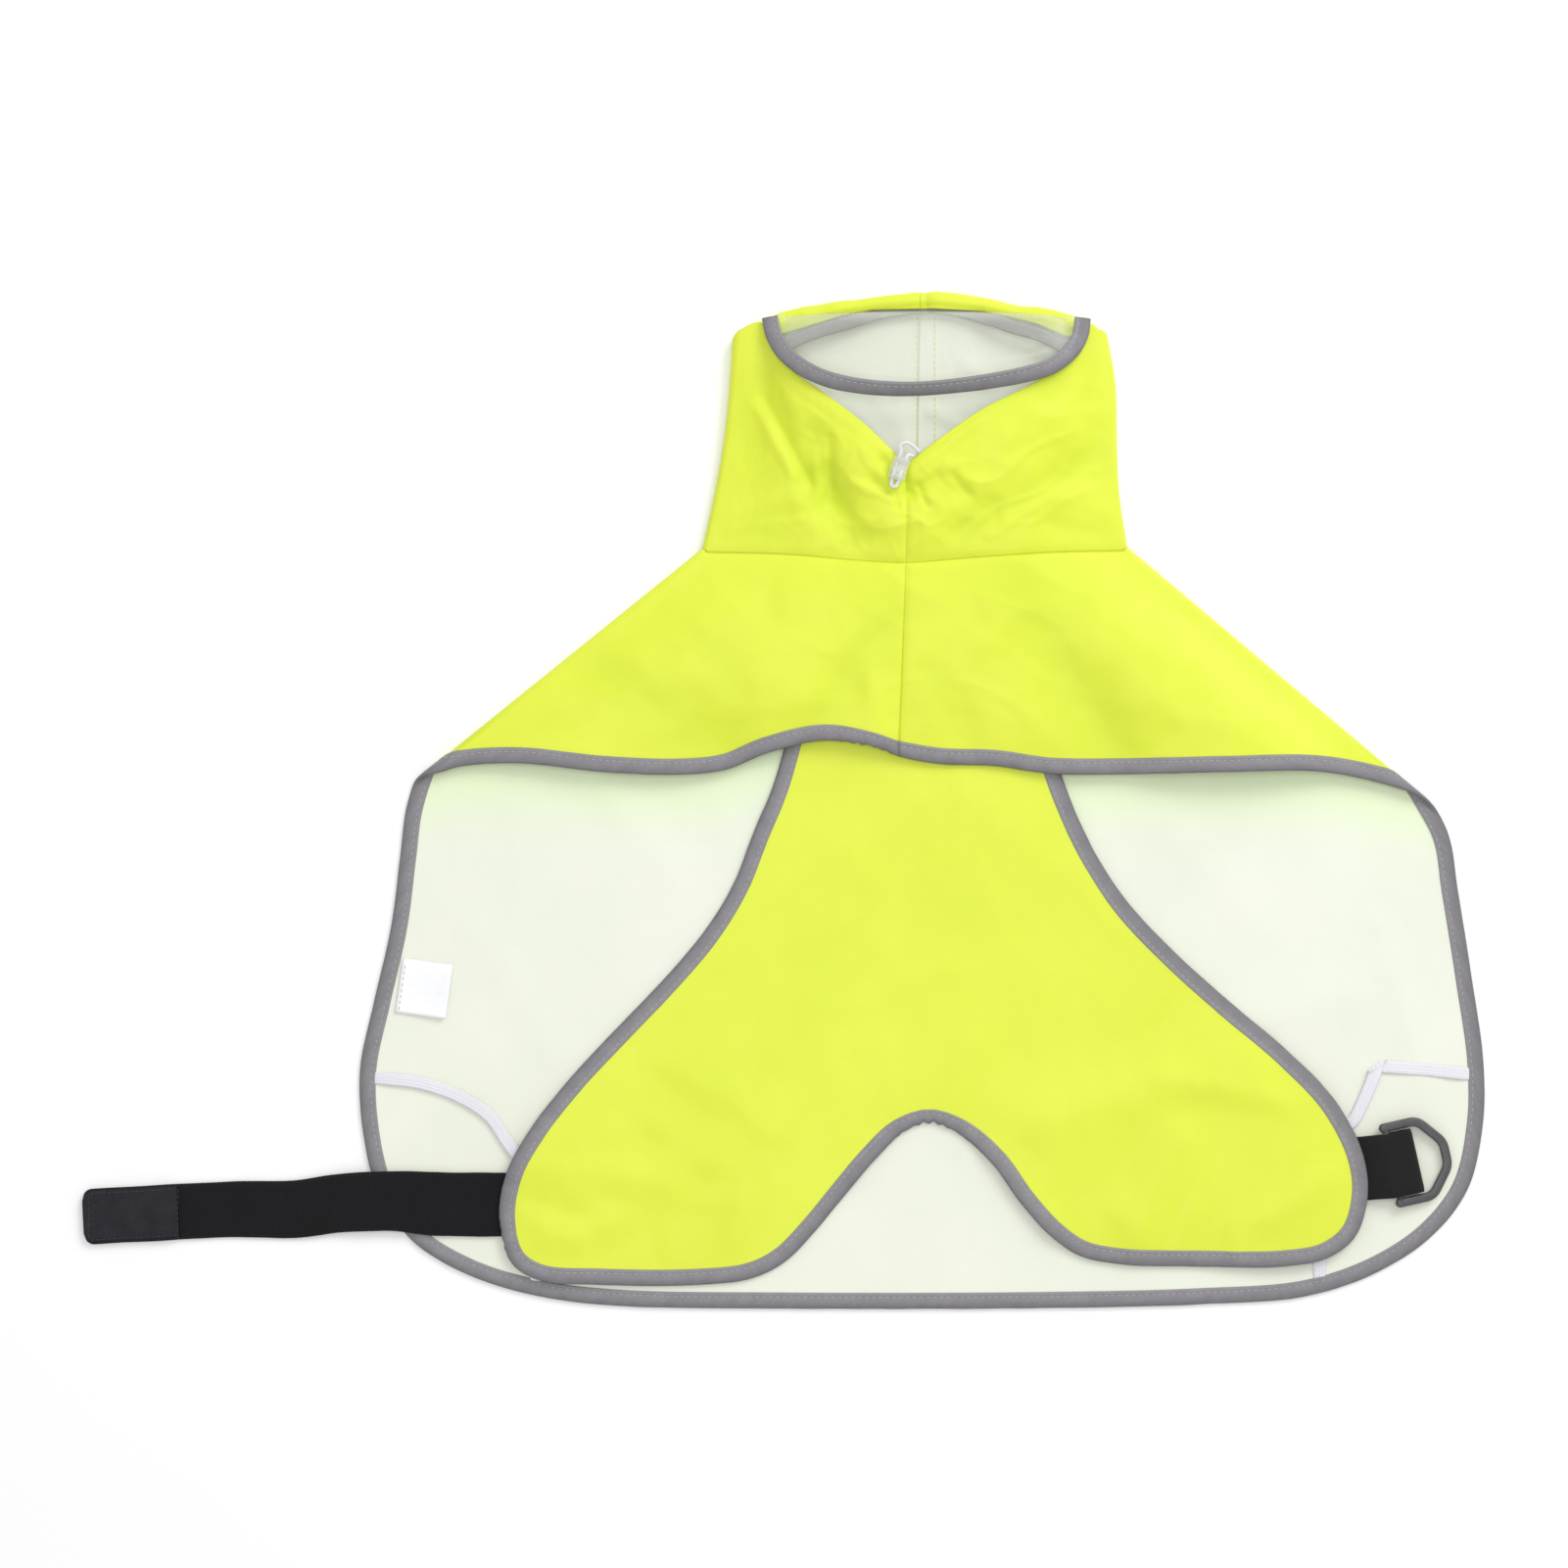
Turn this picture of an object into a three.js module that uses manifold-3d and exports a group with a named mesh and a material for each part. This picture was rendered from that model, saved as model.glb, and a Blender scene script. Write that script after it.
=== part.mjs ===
// A hooded dog raincoat, laid out on its back with the belly flap up, in millimetres.
// X runs across the coat, Y from the tail hem to the hood, and Z up from the surface it lies on.
// The cape is one cut: a back whose two fronts turn over at the shoulder folds and meet at the chest seam.
import * as THREE from "three";
import { mergeVertices } from "three/addons/utils/BufferGeometryUtils.js";
import Module from "manifold-3d";

const wasm = await Module();
wasm.setup();

// Driving sizes
const cloth = 1.0; // wall of the coated cloth
const seamGap = 0.3; // between pieces that are sewn or lie together
const seamShift = 0.24; // of each side of a seam from its middle line
const tapeWidth = 7.5; // bound edge, folded
const tapeThick = 1.8;
const shoulderRadius = 2.5; // bend of the cloth at a shoulder fold
const hoodCornerRadius = 4; // bend of the hood's sides at the face opening
const rollRadius = 3.5; // the hood's rolled top edge
const leashFlap = { x: -3, top: 113, width: 77, length: 65, corner: 26 };
const leashFlapLift = 1.45; // how far the back is held up over the leash flap
const webbing = { width: 30, thick: 1.2 };
const ringBar = { x: 220.5, y: -170.5, diameter: 3.2, turn: 12.5 };
const elastic = { thick: 1.5 };
const legElastic = { width: 6, thick: 0.8 };
const label = { x: -233.4, y: -87.9, width: 24, height: 26, turn: -8 };
const cord = { diameter: 1.8, sides: 8 };

const halfTurn = Math.PI;
const radians = (degrees) => (degrees * halfTurn) / 180;
const lerp = (a, b, t) => a + (b - a) * t;
const clamp01 = (t) => Math.min(1, Math.max(0, t));
const ease = (from, to, value) => {
  const t = clamp01((value - from) / (to - from));
  return t * t * (3 - 2 * t);
};

// A smooth curve through the rows of a table, and points spaced evenly along it
const curveThrough = (rows) =>
  new THREE.CatmullRomCurve3(
    rows.map((r) => new THREE.Vector3(r.x, r.y, r.z ?? 0)),
    false,
    "centripetal",
  );
const evenPoints = (rows, count) => curveThrough(rows).getSpacedPoints(count);

// The value at x of a table of x and another column, straight between its rows
function tableAt(rows, x, column) {
  const after = rows.findIndex((r) => r.x >= x);
  if (after === 0) return rows[0][column];
  if (after < 0) return rows[rows.length - 1][column];
  const a = rows[after - 1];
  const b = rows[after];
  return lerp(a[column], b[column], (x - a.x) / (b.x - a.x));
}

// Outlines as the coat lies, measured to the outer edge of the binding
const chestSeam = { neckX: -7.5, neckY: 111.6, hemX: -11, hemY: 20.6 };
const backEdge = [
  { x: -242, y: -3 },
  { x: -245, y: -26 },
  { x: -249, y: -58 },
  { x: -257, y: -94 },
  { x: -263.4, y: -125 },
  { x: -262.5, y: -152 },
  { x: -256, y: -180 },
  { x: -240, y: -205 },
  { x: -215, y: -221 },
  { x: -182, y: -231.5 },
  { x: -145, y: -236.3 },
  { x: -60, y: -237.8 },
  { x: 60, y: -237.5 },
  { x: 130, y: -235.8 },
  { x: 180, y: -232 },
  { x: 213, y: -221 },
  { x: 239, y: -204 },
  { x: 256, y: -182 },
  { x: 263.2, y: -152 },
  { x: 263.6, y: -122 },
  { x: 258.5, y: -84 },
  { x: 252, y: -42 },
  { x: 247.5, y: -15 },
];
const frontHem = [
  { x: -230, y: 12.4, rise: 0 },
  { x: -216, y: 16.2, rise: 1 },
  { x: -190, y: 17.6, rise: 3.5 },
  { x: -148, y: 13.4, rise: 3.5 },
  { x: -112, y: 12.3, rise: 2.5 },
  { x: -92, y: 14.6, rise: 1.5 },
  { x: -72, y: 22.5, rise: 2 },
  { x: -46, y: 28.2, rise: 4 },
  { x: -24, y: 24.6, rise: 2.5 },
  { x: -11, y: 20.6, rise: 0 },
  { x: 8, y: 17.4, rise: -0.6 },
  { x: 34, y: 16.4, rise: -0.6 },
  { x: 60, y: 12.8, rise: 0.2 },
  { x: 92, y: 12.4, rise: 4 },
  { x: 142, y: 13.3, rise: 9 },
  { x: 184, y: 13.8, rise: 7.5 },
  { x: 204, y: 11, rise: 3.5 },
  { x: 225, y: 5.5, rise: 0 },
];
const shoulders = {
  left: { neck: { x: -102.6, y: 118.7 }, corner: { x: -239.5, y: 8 } },
  right: { neck: { x: 96.4, y: 119.4 }, corner: { x: 231, y: 5.5 } },
};
const frontNeck = [
  { x: -101, y: 116.7 },
  { x: -62, y: 115.4 },
  { x: -30, y: 112.6 },
  { x: -7.5, y: 111.6 },
  { x: 24, y: 114 },
  { x: 60, y: 116.4 },
  { x: 94.8, y: 117.4 },
];
const backNeck = [
  { x: -101, y: 116.7 },
  { x: -50, y: 114.2 },
  { x: -3, y: 113.4 },
  { x: 45, y: 114.4 },
  { x: 94.8, y: 117.4 },
];

// Soft troughs and ridges of the laid cloth; a ridge has a negative depth
const creases = {
  front: [
    { x1: 48, y1: 104, x2: 92, y2: 20, width: 15, depth: 2.6 },
    { x1: -14, y1: 88, x2: -52, y2: 30, width: 12, depth: 1.8 },
    { x1: -150, y1: 62, x2: -92, y2: 22, width: 14, depth: 1.6 },
    { x1: 120, y1: 86, x2: 168, y2: 18, width: 20, depth: -1.8 },
  ],
  hood: [
    { x1: -74, y1: 196, x2: -46, y2: 140, width: 8, depth: 2.2 },
    { x1: -50, y1: 172, x2: -34, y2: 122, width: 7, depth: 1.6 },
    { x1: -18, y1: 158, x2: -7, y2: 146, width: 4, depth: 1.8 },
    { x1: 20, y1: 126, x2: 86, y2: 160, width: 8, depth: 1.5 },
    { x1: 30, y1: 186, x2: 62, y2: 196, width: 6, depth: 1.4 },
  ],
  flap: [
    { x1: -190, y1: -168, x2: -120, y2: -178, width: 9, depth: -1.2 },
    { x1: 60, y1: -150, x2: 150, y2: -120, width: 14, depth: -1.4 },
    { x1: 100, y1: -205, x2: 120, y2: -160, width: 10, depth: -1.2 },
  ],
};

// How far a point lies from a crease's line, and the depth that the creases give it there
function creaseDepth(list, x, y) {
  return list.reduce((sum, c) => {
    const dx = c.x2 - c.x1;
    const dy = c.y2 - c.y1;
    const t = clamp01(((x - c.x1) * dx + (y - c.y1) * dy) / (dx * dx + dy * dy));
    const away = Math.hypot(x - c.x1 - t * dx, y - c.y1 - t * dy);
    return sum + c.depth * Math.exp(-((away / c.width) ** 2));
  }, 0);
}

// A shoulder fold: cloth beyond its line turns through half a circle and lies back over itself
class ShoulderFold {
  constructor({ neck, corner }, side) {
    const dx = corner.x - neck.x;
    const dy = corner.y - neck.y;
    const length = Math.hypot(dx, dy);
    this.along = new THREE.Vector2(dx / length, dy / length);
    this.outward = new THREE.Vector2(dy / length, -dx / length).multiplyScalar(side);
    this.origin = new THREE.Vector2(neck.x, neck.y).addScaledVector(this.outward, -shoulderRadius);
  }
  beyond(p) {
    return (p.x - this.origin.x) * this.outward.x + (p.y - this.origin.y) * this.outward.y;
  }
  // From a point of the front, as it lies, to its place in the flat cut
  unfold(p) {
    const inside = -this.beyond(p);
    const onLine = new THREE.Vector2(p.x, p.y).addScaledVector(this.outward, inside);
    return onLine.addScaledVector(this.outward, inside + halfTurn * shoulderRadius);
  }
  // From the flat cut to where it lies: x, y and the height over the back
  fold(p) {
    const b = this.beyond(p);
    const onLine = new THREE.Vector2(p.x, p.y).addScaledVector(this.outward, -b);
    const arc = halfTurn * shoulderRadius;
    const turned = Math.min(b, arc) / shoulderRadius;
    const out = shoulderRadius * Math.sin(turned) - Math.max(0, b - arc);
    onLine.addScaledVector(this.outward, out);
    return { x: onLine.x, y: onLine.y, z: shoulderRadius * (1 - Math.cos(turned)), front: b >= arc };
  }
}
const leftFold = new ShoulderFold(shoulders.left, 1);
const rightFold = new ShoulderFold(shoulders.right, -1);

// Height of the back over the surface: nothing, but for where it lies on the leash flap
function backLift(x, y) {
  const dx = Math.max(0, Math.abs(x - leashFlap.x) - leashFlap.width / 2);
  const dy = Math.max(0, leashFlap.top - leashFlap.length - y, y - leashFlap.top);
  return leashFlapLift * (1 - ease(4, 30, Math.hypot(dx, dy)));
}

// Height of the fronts over the top of their folds
function frontRise(x, y) {
  const inside = Math.max(0, Math.min(-leftFold.beyond({ x, y }), -rightFold.beyond({ x, y })));
  const lateral = (inside * inside) / (inside * inside + 400);
  const up = clamp01((y - 18) / 96);
  const crown = lerp(tableAt(frontHem, x, "rise"), 6, up) + 3.5 * Math.sin(halfTurn * up);
  const sunk = creaseDepth(creases.front, x, y) * Math.sin(halfTurn * clamp01(up + 0.25));
  return lateral * (crown - sunk);
}

// Where a point of the cape's flat cut lies; lift raises it under the thicker binding
function layCape(p, lift = 0) {
  const fold = leftFold.beyond(p) > 0 ? leftFold : rightFold.beyond(p) > 0 ? rightFold : null;
  if (!fold) return new THREE.Vector3(p.x, p.y, cloth / 2 + backLift(p.x, p.y) + lift);
  const laid = fold.fold(p);
  const rise = laid.front ? frontRise(laid.x, laid.y) : backLift(laid.x, laid.y);
  return new THREE.Vector3(laid.x, laid.y, cloth / 2 + laid.z + rise + lift);
}

// Solids from grids of points. A grid is a list of rows, each a list of points on the middle of the wall.
function gridNormal(grid, i, j, closed) {
  const rows = grid.length;
  const columns = grid[0].length;
  const across = closed
    ? [(j + 1) % columns, (j + columns - 1) % columns]
    : [Math.min(j + 1, columns - 1), Math.max(j - 1, 0)];
  const du = grid[i][across[0]].clone().sub(grid[i][across[1]]);
  const dv = grid[Math.min(i + 1, rows - 1)][j].clone().sub(grid[Math.max(i - 1, 0)][j]);
  return du.cross(dv).normalize();
}

// A closed wall; thickness is a number, or a list with one number for each row
function wall(grid, thickness, closed = false) {
  const rows = grid.length;
  const columns = grid[0].length;
  const points = [];
  for (const side of [0.5, -0.5])
    for (let i = 0; i < rows; i++)
      for (let j = 0; j < columns; j++) {
        const depth = Array.isArray(thickness) ? thickness[i] : thickness;
        points.push(grid[i][j].clone().addScaledVector(gridNormal(grid, i, j, closed), depth * side));
      }
  const outer = (i, j) => i * columns + (j % columns);
  const inner = (i, j) => rows * columns + outer(i, j);
  const faces = [];
  const quad = (a, b, c, d) => faces.push(a, b, c, a, c, d);
  const lastColumn = closed ? columns : columns - 1;
  for (let i = 0; i < rows - 1; i++)
    for (let j = 0; j < lastColumn; j++) {
      quad(outer(i, j), outer(i, j + 1), outer(i + 1, j + 1), outer(i + 1, j));
      quad(inner(i, j), inner(i + 1, j), inner(i + 1, j + 1), inner(i, j + 1));
    }
  for (let j = 0; j < lastColumn; j++) {
    quad(outer(0, j), inner(0, j), inner(0, j + 1), outer(0, j + 1));
    quad(outer(rows - 1, j), outer(rows - 1, j + 1), inner(rows - 1, j + 1), inner(rows - 1, j));
  }
  if (!closed)
    for (let i = 0; i < rows - 1; i++) {
      quad(outer(i, 0), outer(i + 1, 0), inner(i + 1, 0), inner(i, 0));
      const j = columns - 1;
      quad(outer(i, j), inner(i, j), inner(i + 1, j), outer(i + 1, j));
    }
  const geometry = new THREE.BufferGeometry();
  geometry.setAttribute("position", new THREE.Float32BufferAttribute(points.flatMap((p) => p.toArray()), 3));
  geometry.setIndex(faces);
  return geometry;
}

// A ribbon on a line of centres: its rows run across, and widthAt and upAt give its width and lean
function ribbonGrid(centres, widthAt, rowCount = 2) {
  const grid = Array.from({ length: rowCount }, () => []);
  centres.forEach((c, j) => {
    const ahead = centres[Math.min(j + 1, centres.length - 1)];
    const behind = centres[Math.max(j - 1, 0)];
    const side = new THREE.Vector3(ahead.y - behind.y, behind.x - ahead.x, 0).normalize();
    for (let i = 0; i < rowCount; i++)
      grid[i].push(c.clone().addScaledVector(side, widthAt(j) * (0.5 - i / (rowCount - 1))));
  });
  return grid.reverse();
}

// Points of a flat outline moved to its left by a distance
function inset(points, distance) {
  return points.map((p, k) => {
    const ahead = points[Math.min(k + 1, points.length - 1)];
    const behind = points[Math.max(k - 1, 0)];
    const length = Math.hypot(ahead.x - behind.x, ahead.y - behind.y);
    const offX = (-(ahead.y - behind.y) / length) * distance;
    const offY = ((ahead.x - behind.x) / length) * distance;
    return new THREE.Vector2(p.x + offX, p.y + offY);
  });
}

// A part of a dense line between two places on it, evenly resampled
function resample(points, from, to, count) {
  const length = [0];
  for (let k = 1; k < points.length; k++) length.push(length[k - 1] + points[k].distanceTo(points[k - 1]));
  const lengthAt = (place) => {
    const next = Math.min(Math.ceil(place), points.length - 1);
    return lerp(length[Math.floor(place)], length[next], place % 1);
  };
  const made = [];
  for (let k = 0; k <= count; k++) {
    const want = lerp(lengthAt(from), lengthAt(to), k / count);
    let at = length.findIndex((l) => l >= want - 1e-9);
    at = Math.max(1, at);
    const t = (want - length[at - 1]) / (length[at] - length[at - 1]);
    made.push(at - 1 + t);
  }
  return made;
}
const pointAt = (points, place) => {
  const k = Math.min(Math.floor(place), points.length - 2);
  return points[k].clone().lerp(points[k + 1], place - k);
};

// The cape's free edge in the flat cut, from the chest seam round both shoulders and back to it
const hemLeft = frontHem.filter((r) => r.x <= chestSeam.hemX).reverse();
const hemRight = frontHem.filter((r) => r.x >= chestSeam.hemX).reverse();
const flatEdgeRows = [
  ...hemLeft.map((r) => leftFold.unfold(r)),
  ...backEdge,
  ...hemRight.map((r) => rightFold.unfold(r)),
];
const denseCount = 1600;
const flatEdge = evenPoints(flatEdgeRows, denseCount).map((p) => new THREE.Vector2(p.x, p.y));
const endSection = (fold) => {
  const { hemX: x, hemY: y } = chestSeam;
  return fold.unfold({ x, y: y + tapeWidth }).sub(fold.unfold({ x, y }));
};
const insetEdge = (distance) => {
  const moved = inset(flatEdge, distance);
  const turn = 26; // points over which the section turns to run along the chest seam
  [
    [0, leftFold, 1],
    [denseCount, rightFold, -1],
  ].forEach(([end, fold, step]) => {
    const section = endSection(fold).multiplyScalar(distance / tapeWidth);
    for (let k = 0; k < turn; k++) {
      const at = end + step * k;
      moved[at].lerp(flatEdge[at].clone().add(section), 1 - ease(0, turn, k));
    }
  });
  return moved;
};

// Where a line along the edge crosses the parallel to a fold at a distance beyond it
function crossing(line, fold, distance) {
  const rising = fold === rightFold;
  for (let k = 1; k < line.length; k++) {
    const a = fold.beyond(line[k - 1]) - distance;
    const b = fold.beyond(line[k]) - distance;
    if (rising ? a < 0 && b >= 0 : a > 0 && b <= 0) return k - 1 + a / (a - b);
  }
  throw new Error("the edge never crosses the fold");
}

// The cape's columns on a line at a distance inside its edge: both fronts, both bends and the back
const count = { front: 11, bend: 5, back: 44, capeRows: 10 };
const bendArc = halfTurn * shoulderRadius;
function edgeColumns(distance) {
  const line = insetEdge(distance);
  const at = (fold, beyond) => crossing(line, fold, beyond);
  const bends = (fold) =>
    Array.from({ length: count.bend - 1 }, (_, k) => at(fold, bendArc * (1 - (k + 1) / count.bend)));
  const places = [
    ...resample(line, 0, at(leftFold, bendArc), count.front),
    ...bends(leftFold),
    ...resample(line, at(leftFold, 0), at(rightFold, 0), count.back),
    ...bends(rightFold).reverse(),
    ...resample(line, at(rightFold, bendArc), denseCount, count.front),
  ];
  return places.map((place) => pointAt(line, place));
}

function neckPoints() {
  const front = evenPoints(frontNeck, 400);
  const middle = front.findIndex((p) => p.x >= chestSeam.neckX);
  const pick = (from, to, k, n) => front[Math.round(lerp(from, to, k / n))];
  const leftNeck = new THREE.Vector2(leftFold.origin.x, leftFold.origin.y);
  const rightNeck = new THREE.Vector2(rightFold.origin.x, rightFold.origin.y);
  const bend = (fold, at) =>
    Array.from({ length: count.bend - 1 }, (_, k) =>
      at.clone().addScaledVector(fold.outward, bendArc * (1 - (k + 1) / count.bend)));
  const fronts = (fold, from, to) =>
    Array.from({ length: count.front + 1 }, (_, k) => fold.unfold(pick(from, to, k, count.front)));
  const left = fronts(leftFold, middle, 0);
  const right = fronts(rightFold, front.length - 1, middle);
  left[count.front] = leftNeck.clone().addScaledVector(leftFold.outward, bendArc);
  right[0] = rightNeck.clone().addScaledVector(rightFold.outward, bendArc);
  const back = evenPoints(backNeck, count.back).map((p) => new THREE.Vector2(p.x, p.y));
  back[0] = leftNeck;
  back[count.back] = rightNeck;
  return [...left, ...bend(leftFold, leftNeck), ...back, ...bend(rightFold, rightNeck).reverse(), ...right];
}
const neck = neckPoints();
const lastColumn = neck.length - 1;

// The two fronts stop short of the chest seam's middle line
function partAtSeam(grid, low = 0, high = grid[0].length - 1) {
  grid.forEach((row) => {
    row[low].x -= seamShift;
    row[high].x += seamShift;
  });
  return grid;
}

// The neck seam in space, and the way from it down each column of the cape
const capeEnds = edgeColumns(tapeWidth + seamGap);
const bindingLift = (tapeThick - cloth) / 2;
const capePoint = (j, v) => layCape(neck[j].clone().lerp(capeEnds[j], v), bindingLift * ease(0.9, 1, v));
const neckShift = (j) => capePoint(j, 0.03).sub(capePoint(j, 0)).setLength(seamShift);

function capeGrid() {
  const rows = Array.from({ length: count.capeRows + 1 }, (_, i) => i / count.capeRows);
  const grid = rows.map((v) => neck.map((_, j) => capePoint(j, v)));
  grid[0].forEach((p, j) => p.add(neckShift(j)));
  return partAtSeam(grid);
}

// A binding's section: full thickness over most of its width, rounded at the fold
const bindingRows = [
  { share: 1, thick: tapeThick },
  { share: 0.14, thick: tapeThick },
  { share: 0, thick: 0.8 },
];
function capeBindingGrid() {
  const line = (share) => edgeColumns(tapeWidth * share).map((p) => layCape(p, bindingLift));
  return partAtSeam(bindingRows.map((row) => line(row.share)));
}

// The hood: two side panels, each from the front over the side to the back, sewn at the back
const hoodSide = { left: -87.5, right: 84, y: 223.5 };
const hoodFace = {
  left: [
    { x: -7.5, y: 157, z: 17 },
    { x: -27, y: 176, z: 18 },
    { x: -45, y: 190, z: 17 },
    { x: -64, y: 203, z: 14.8 },
    { x: -72.5, y: 213, z: 12.6 },
    { x: -79, y: 220.5, z: 10.4 },
    { x: -87.5, y: 223.5, z: 8.5 },
  ],
  right: [
    { x: -7.5, y: 157, z: 17 },
    { x: 8, y: 169, z: 18 },
    { x: 28, y: 183, z: 18 },
    { x: 56, y: 197, z: 15.8 },
    { x: 69, y: 208, z: 13.4 },
    { x: 76, y: 218, z: 10.8 },
    { x: 84, y: 223.5, z: 8.5 },
  ],
};
const hoodTop = [
  { x: -87.5, y: 223.5 },
  { x: -77.7, y: 225.4 },
  { x: -64.9, y: 230 },
  { x: -51, y: 233 },
  { x: -30, y: 235.8 },
  { x: -9.7, y: 238.4 },
  { x: 4, y: 239.5 },
  { x: 18, y: 238.4 },
  { x: 32, y: 236 },
  { x: 45.5, y: 232.8 },
  { x: 59, y: 231.6 },
  { x: 73, y: 228.6 },
  { x: 84, y: 223.5 },
];
const rollEnd = [
  { x: -80, y: 221 },
  { x: -66, y: 219.4 },
  { x: -51, y: 223.9 },
  { x: -37, y: 228.4 },
  { x: -23, y: 231 },
  { x: 4, y: 231.6 },
  { x: 28, y: 230.4 },
  { x: 42, y: 227.4 },
  { x: 54, y: 224.4 },
  { x: 68, y: 218 },
  { x: 78, y: 221 },
];
const hoodRows = { run: 6, roll: 5 };
const hoodBow = 2.7; // how far the hood's left side draws in between neck and face

function hoodColumns() {
  const leftFace = evenPoints(hoodFace.left, count.front);
  const rightFace = evenPoints(hoodFace.right, count.front).reverse();
  const top = evenPoints(hoodTop, count.back);
  const radius = hoodCornerRadius;
  const corner = (x, side) =>
    Array.from({ length: count.bend - 1 }, (_, k) => {
      const turn = halfTurn * (0.5 - (k + 1) / count.bend);
      const height = cloth / 2 + radius + radius * Math.sin(turn);
      return new THREE.Vector3(x + side * radius * Math.cos(turn), hoodSide.y, height);
    });
  const back = top.map((p) => new THREE.Vector3(p.x, p.y, cloth / 2));
  const leftCorner = corner(hoodSide.left, -1);
  const rightCorner = corner(hoodSide.right, 1).reverse();
  return [...leftFace, ...leftCorner, ...back, ...rightCorner, ...rightFace];
}

function hoodGrid() {
  const ends = hoodColumns();
  const backStart = count.front + count.bend;
  const starts = neck.map((_, j) => capePoint(j, 0).sub(neckShift(j)));
  const grid = Array.from({ length: hoodRows.run + hoodRows.roll + 1 }, () => []);
  starts.forEach((start, j) => {
    const end = ends[j];
    const onBack = j > backStart && j < backStart + count.back;
    const fromSide = onBack ? Math.min(j - backStart, backStart + count.back - j) : 0;
    const turned = onBack ? halfTurn * ease(0, 6, fromSide) : 0;
    const drop = rollRadius * Math.sin(turned / 2);
    const runEnd = end.clone().sub(new THREE.Vector3(0, drop, 0));
    const back = onBack ? (runEnd.y - tableAt(rollEnd, end.x, "y")) * ease(1, 6, fromSide) : 0;
    const rollLength = rollRadius * turned + back;
    grid.forEach((row, i) => {
      const tail = onBack ? i - hoodRows.run : 0;
      const v = onBack ? Math.min(1, i / hoodRows.run) : i / (hoodRows.run + hoodRows.roll);
      const p = start.clone().lerp(runEnd, v);
      const inFront = j <= count.front || j >= lastColumn - count.front;
      const fromCorner = Math.min(j, lastColumn - j) / count.front;
      if (inFront) {
        const puff = Math.sin(halfTurn * v) * (1 - fromCorner ** 3);
        p.z += 3.5 * puff - creaseDepth(creases.hood, p.x, p.y) * puff ** 0.5;
      }
      if (onBack) p.z = cloth / 2 + backLift(p.x, p.y);
      p.x += hoodBow * Math.sin(halfTurn * v) * clamp01(-p.x / 90);
      if (tail > 0) {
        const run = (rollLength * tail) / hoodRows.roll;
        const angle = Math.min(run / rollRadius, turned);
        const straight = Math.max(0, run - rollRadius * turned);
        p.y += rollRadius * Math.sin(angle) - straight * Math.cos(halfTurn - turned);
        p.z += rollRadius * (1 - Math.cos(angle)) + straight * 0.12;
      }
      row.push(p);
    });
  });
  return grid;
}
const hood = hoodGrid();
const hoodMiddle = count.front + count.bend + count.back / 2;
const hoodHalf = (from, to) => {
  const half = hood.map((row) => row.slice(from, to + 1).map((p) => p.clone()));
  const inward = from === 0 ? -1 : 1;
  half.forEach((row) => {
    row[0].x += seamShift * inward;
    row[row.length - 1].x += seamShift * inward;
  });
  return half;
};

// The grey tape sewn along the back of the face opening, where the peak is joined on
const faceTape = [
  { x: -67, y: 212.5, z: 8.7 },
  { x: -51, y: 219.6, z: 8.9 },
  { x: -38, y: 223.6, z: 8.5 },
  { x: -31, y: 225.9, z: 7.4 },
  { x: -24, y: 228.4, z: 5.7 },
  { x: -11, y: 231.2, z: 4.9 },
  { x: 4, y: 232.4, z: 4.6 },
  { x: 18, y: 230.8, z: 4.9 },
  { x: 29, y: 227.6, z: 5.7 },
  { x: 36, y: 225.2, z: 7.4 },
  { x: 43, y: 222.4, z: 8.5 },
  { x: 54, y: 219.4, z: 8.9 },
  { x: 70, y: 211.5, z: 8.7 },
];
const faceTapeWidth = 6;

// The clear peak: from the tape it turns over along a chord and lies out over the face opening
const peakEdge = [
  { x: -75, y: 226, z: 12.6 },
  { x: -73, y: 217, z: 14.6 },
  { x: -67, y: 206.5, z: 17.2 },
  { x: -54, y: 196.6, z: 19.6 },
  { x: -37, y: 190.9, z: 20.6 },
  { x: -10, y: 188.6, z: 20.2 },
  { x: 18, y: 190.4, z: 20.2 },
  { x: 46, y: 194.6, z: 20.4 },
  { x: 62, y: 199.4, z: 19.4 },
  { x: 73, y: 207.5, z: 17.2 },
  { x: 79, y: 217, z: 14.6 },
  { x: 81, y: 226, z: 12.6 },
];
const peak = { chordY: 226.2, bow: 3.2, chordZ: 12, left: -66, right: 71.5, columns: 24, thick: 1, dome: 4.5 };
const edgeLine = evenPoints(peakEdge, peak.columns);
// The binding on the peak lies at a slant, steepest in the middle of the arc
const peakSection = edgeLine.map((p, k) => {
  const ahead = edgeLine[Math.min(k + 1, peak.columns)];
  const behind = edgeLine[Math.max(k - 1, 0)];
  const inward = new THREE.Vector3(behind.y - ahead.y, ahead.x - behind.x, 0).normalize();
  const slant = radians(38 * Math.sin((halfTurn * k) / peak.columns) ** 2);
  return inward.multiplyScalar(Math.cos(slant)).setZ(Math.sin(slant));
});
const peakInside = (k, distance) => edgeLine[k].clone().addScaledVector(peakSection[k], distance);

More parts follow.
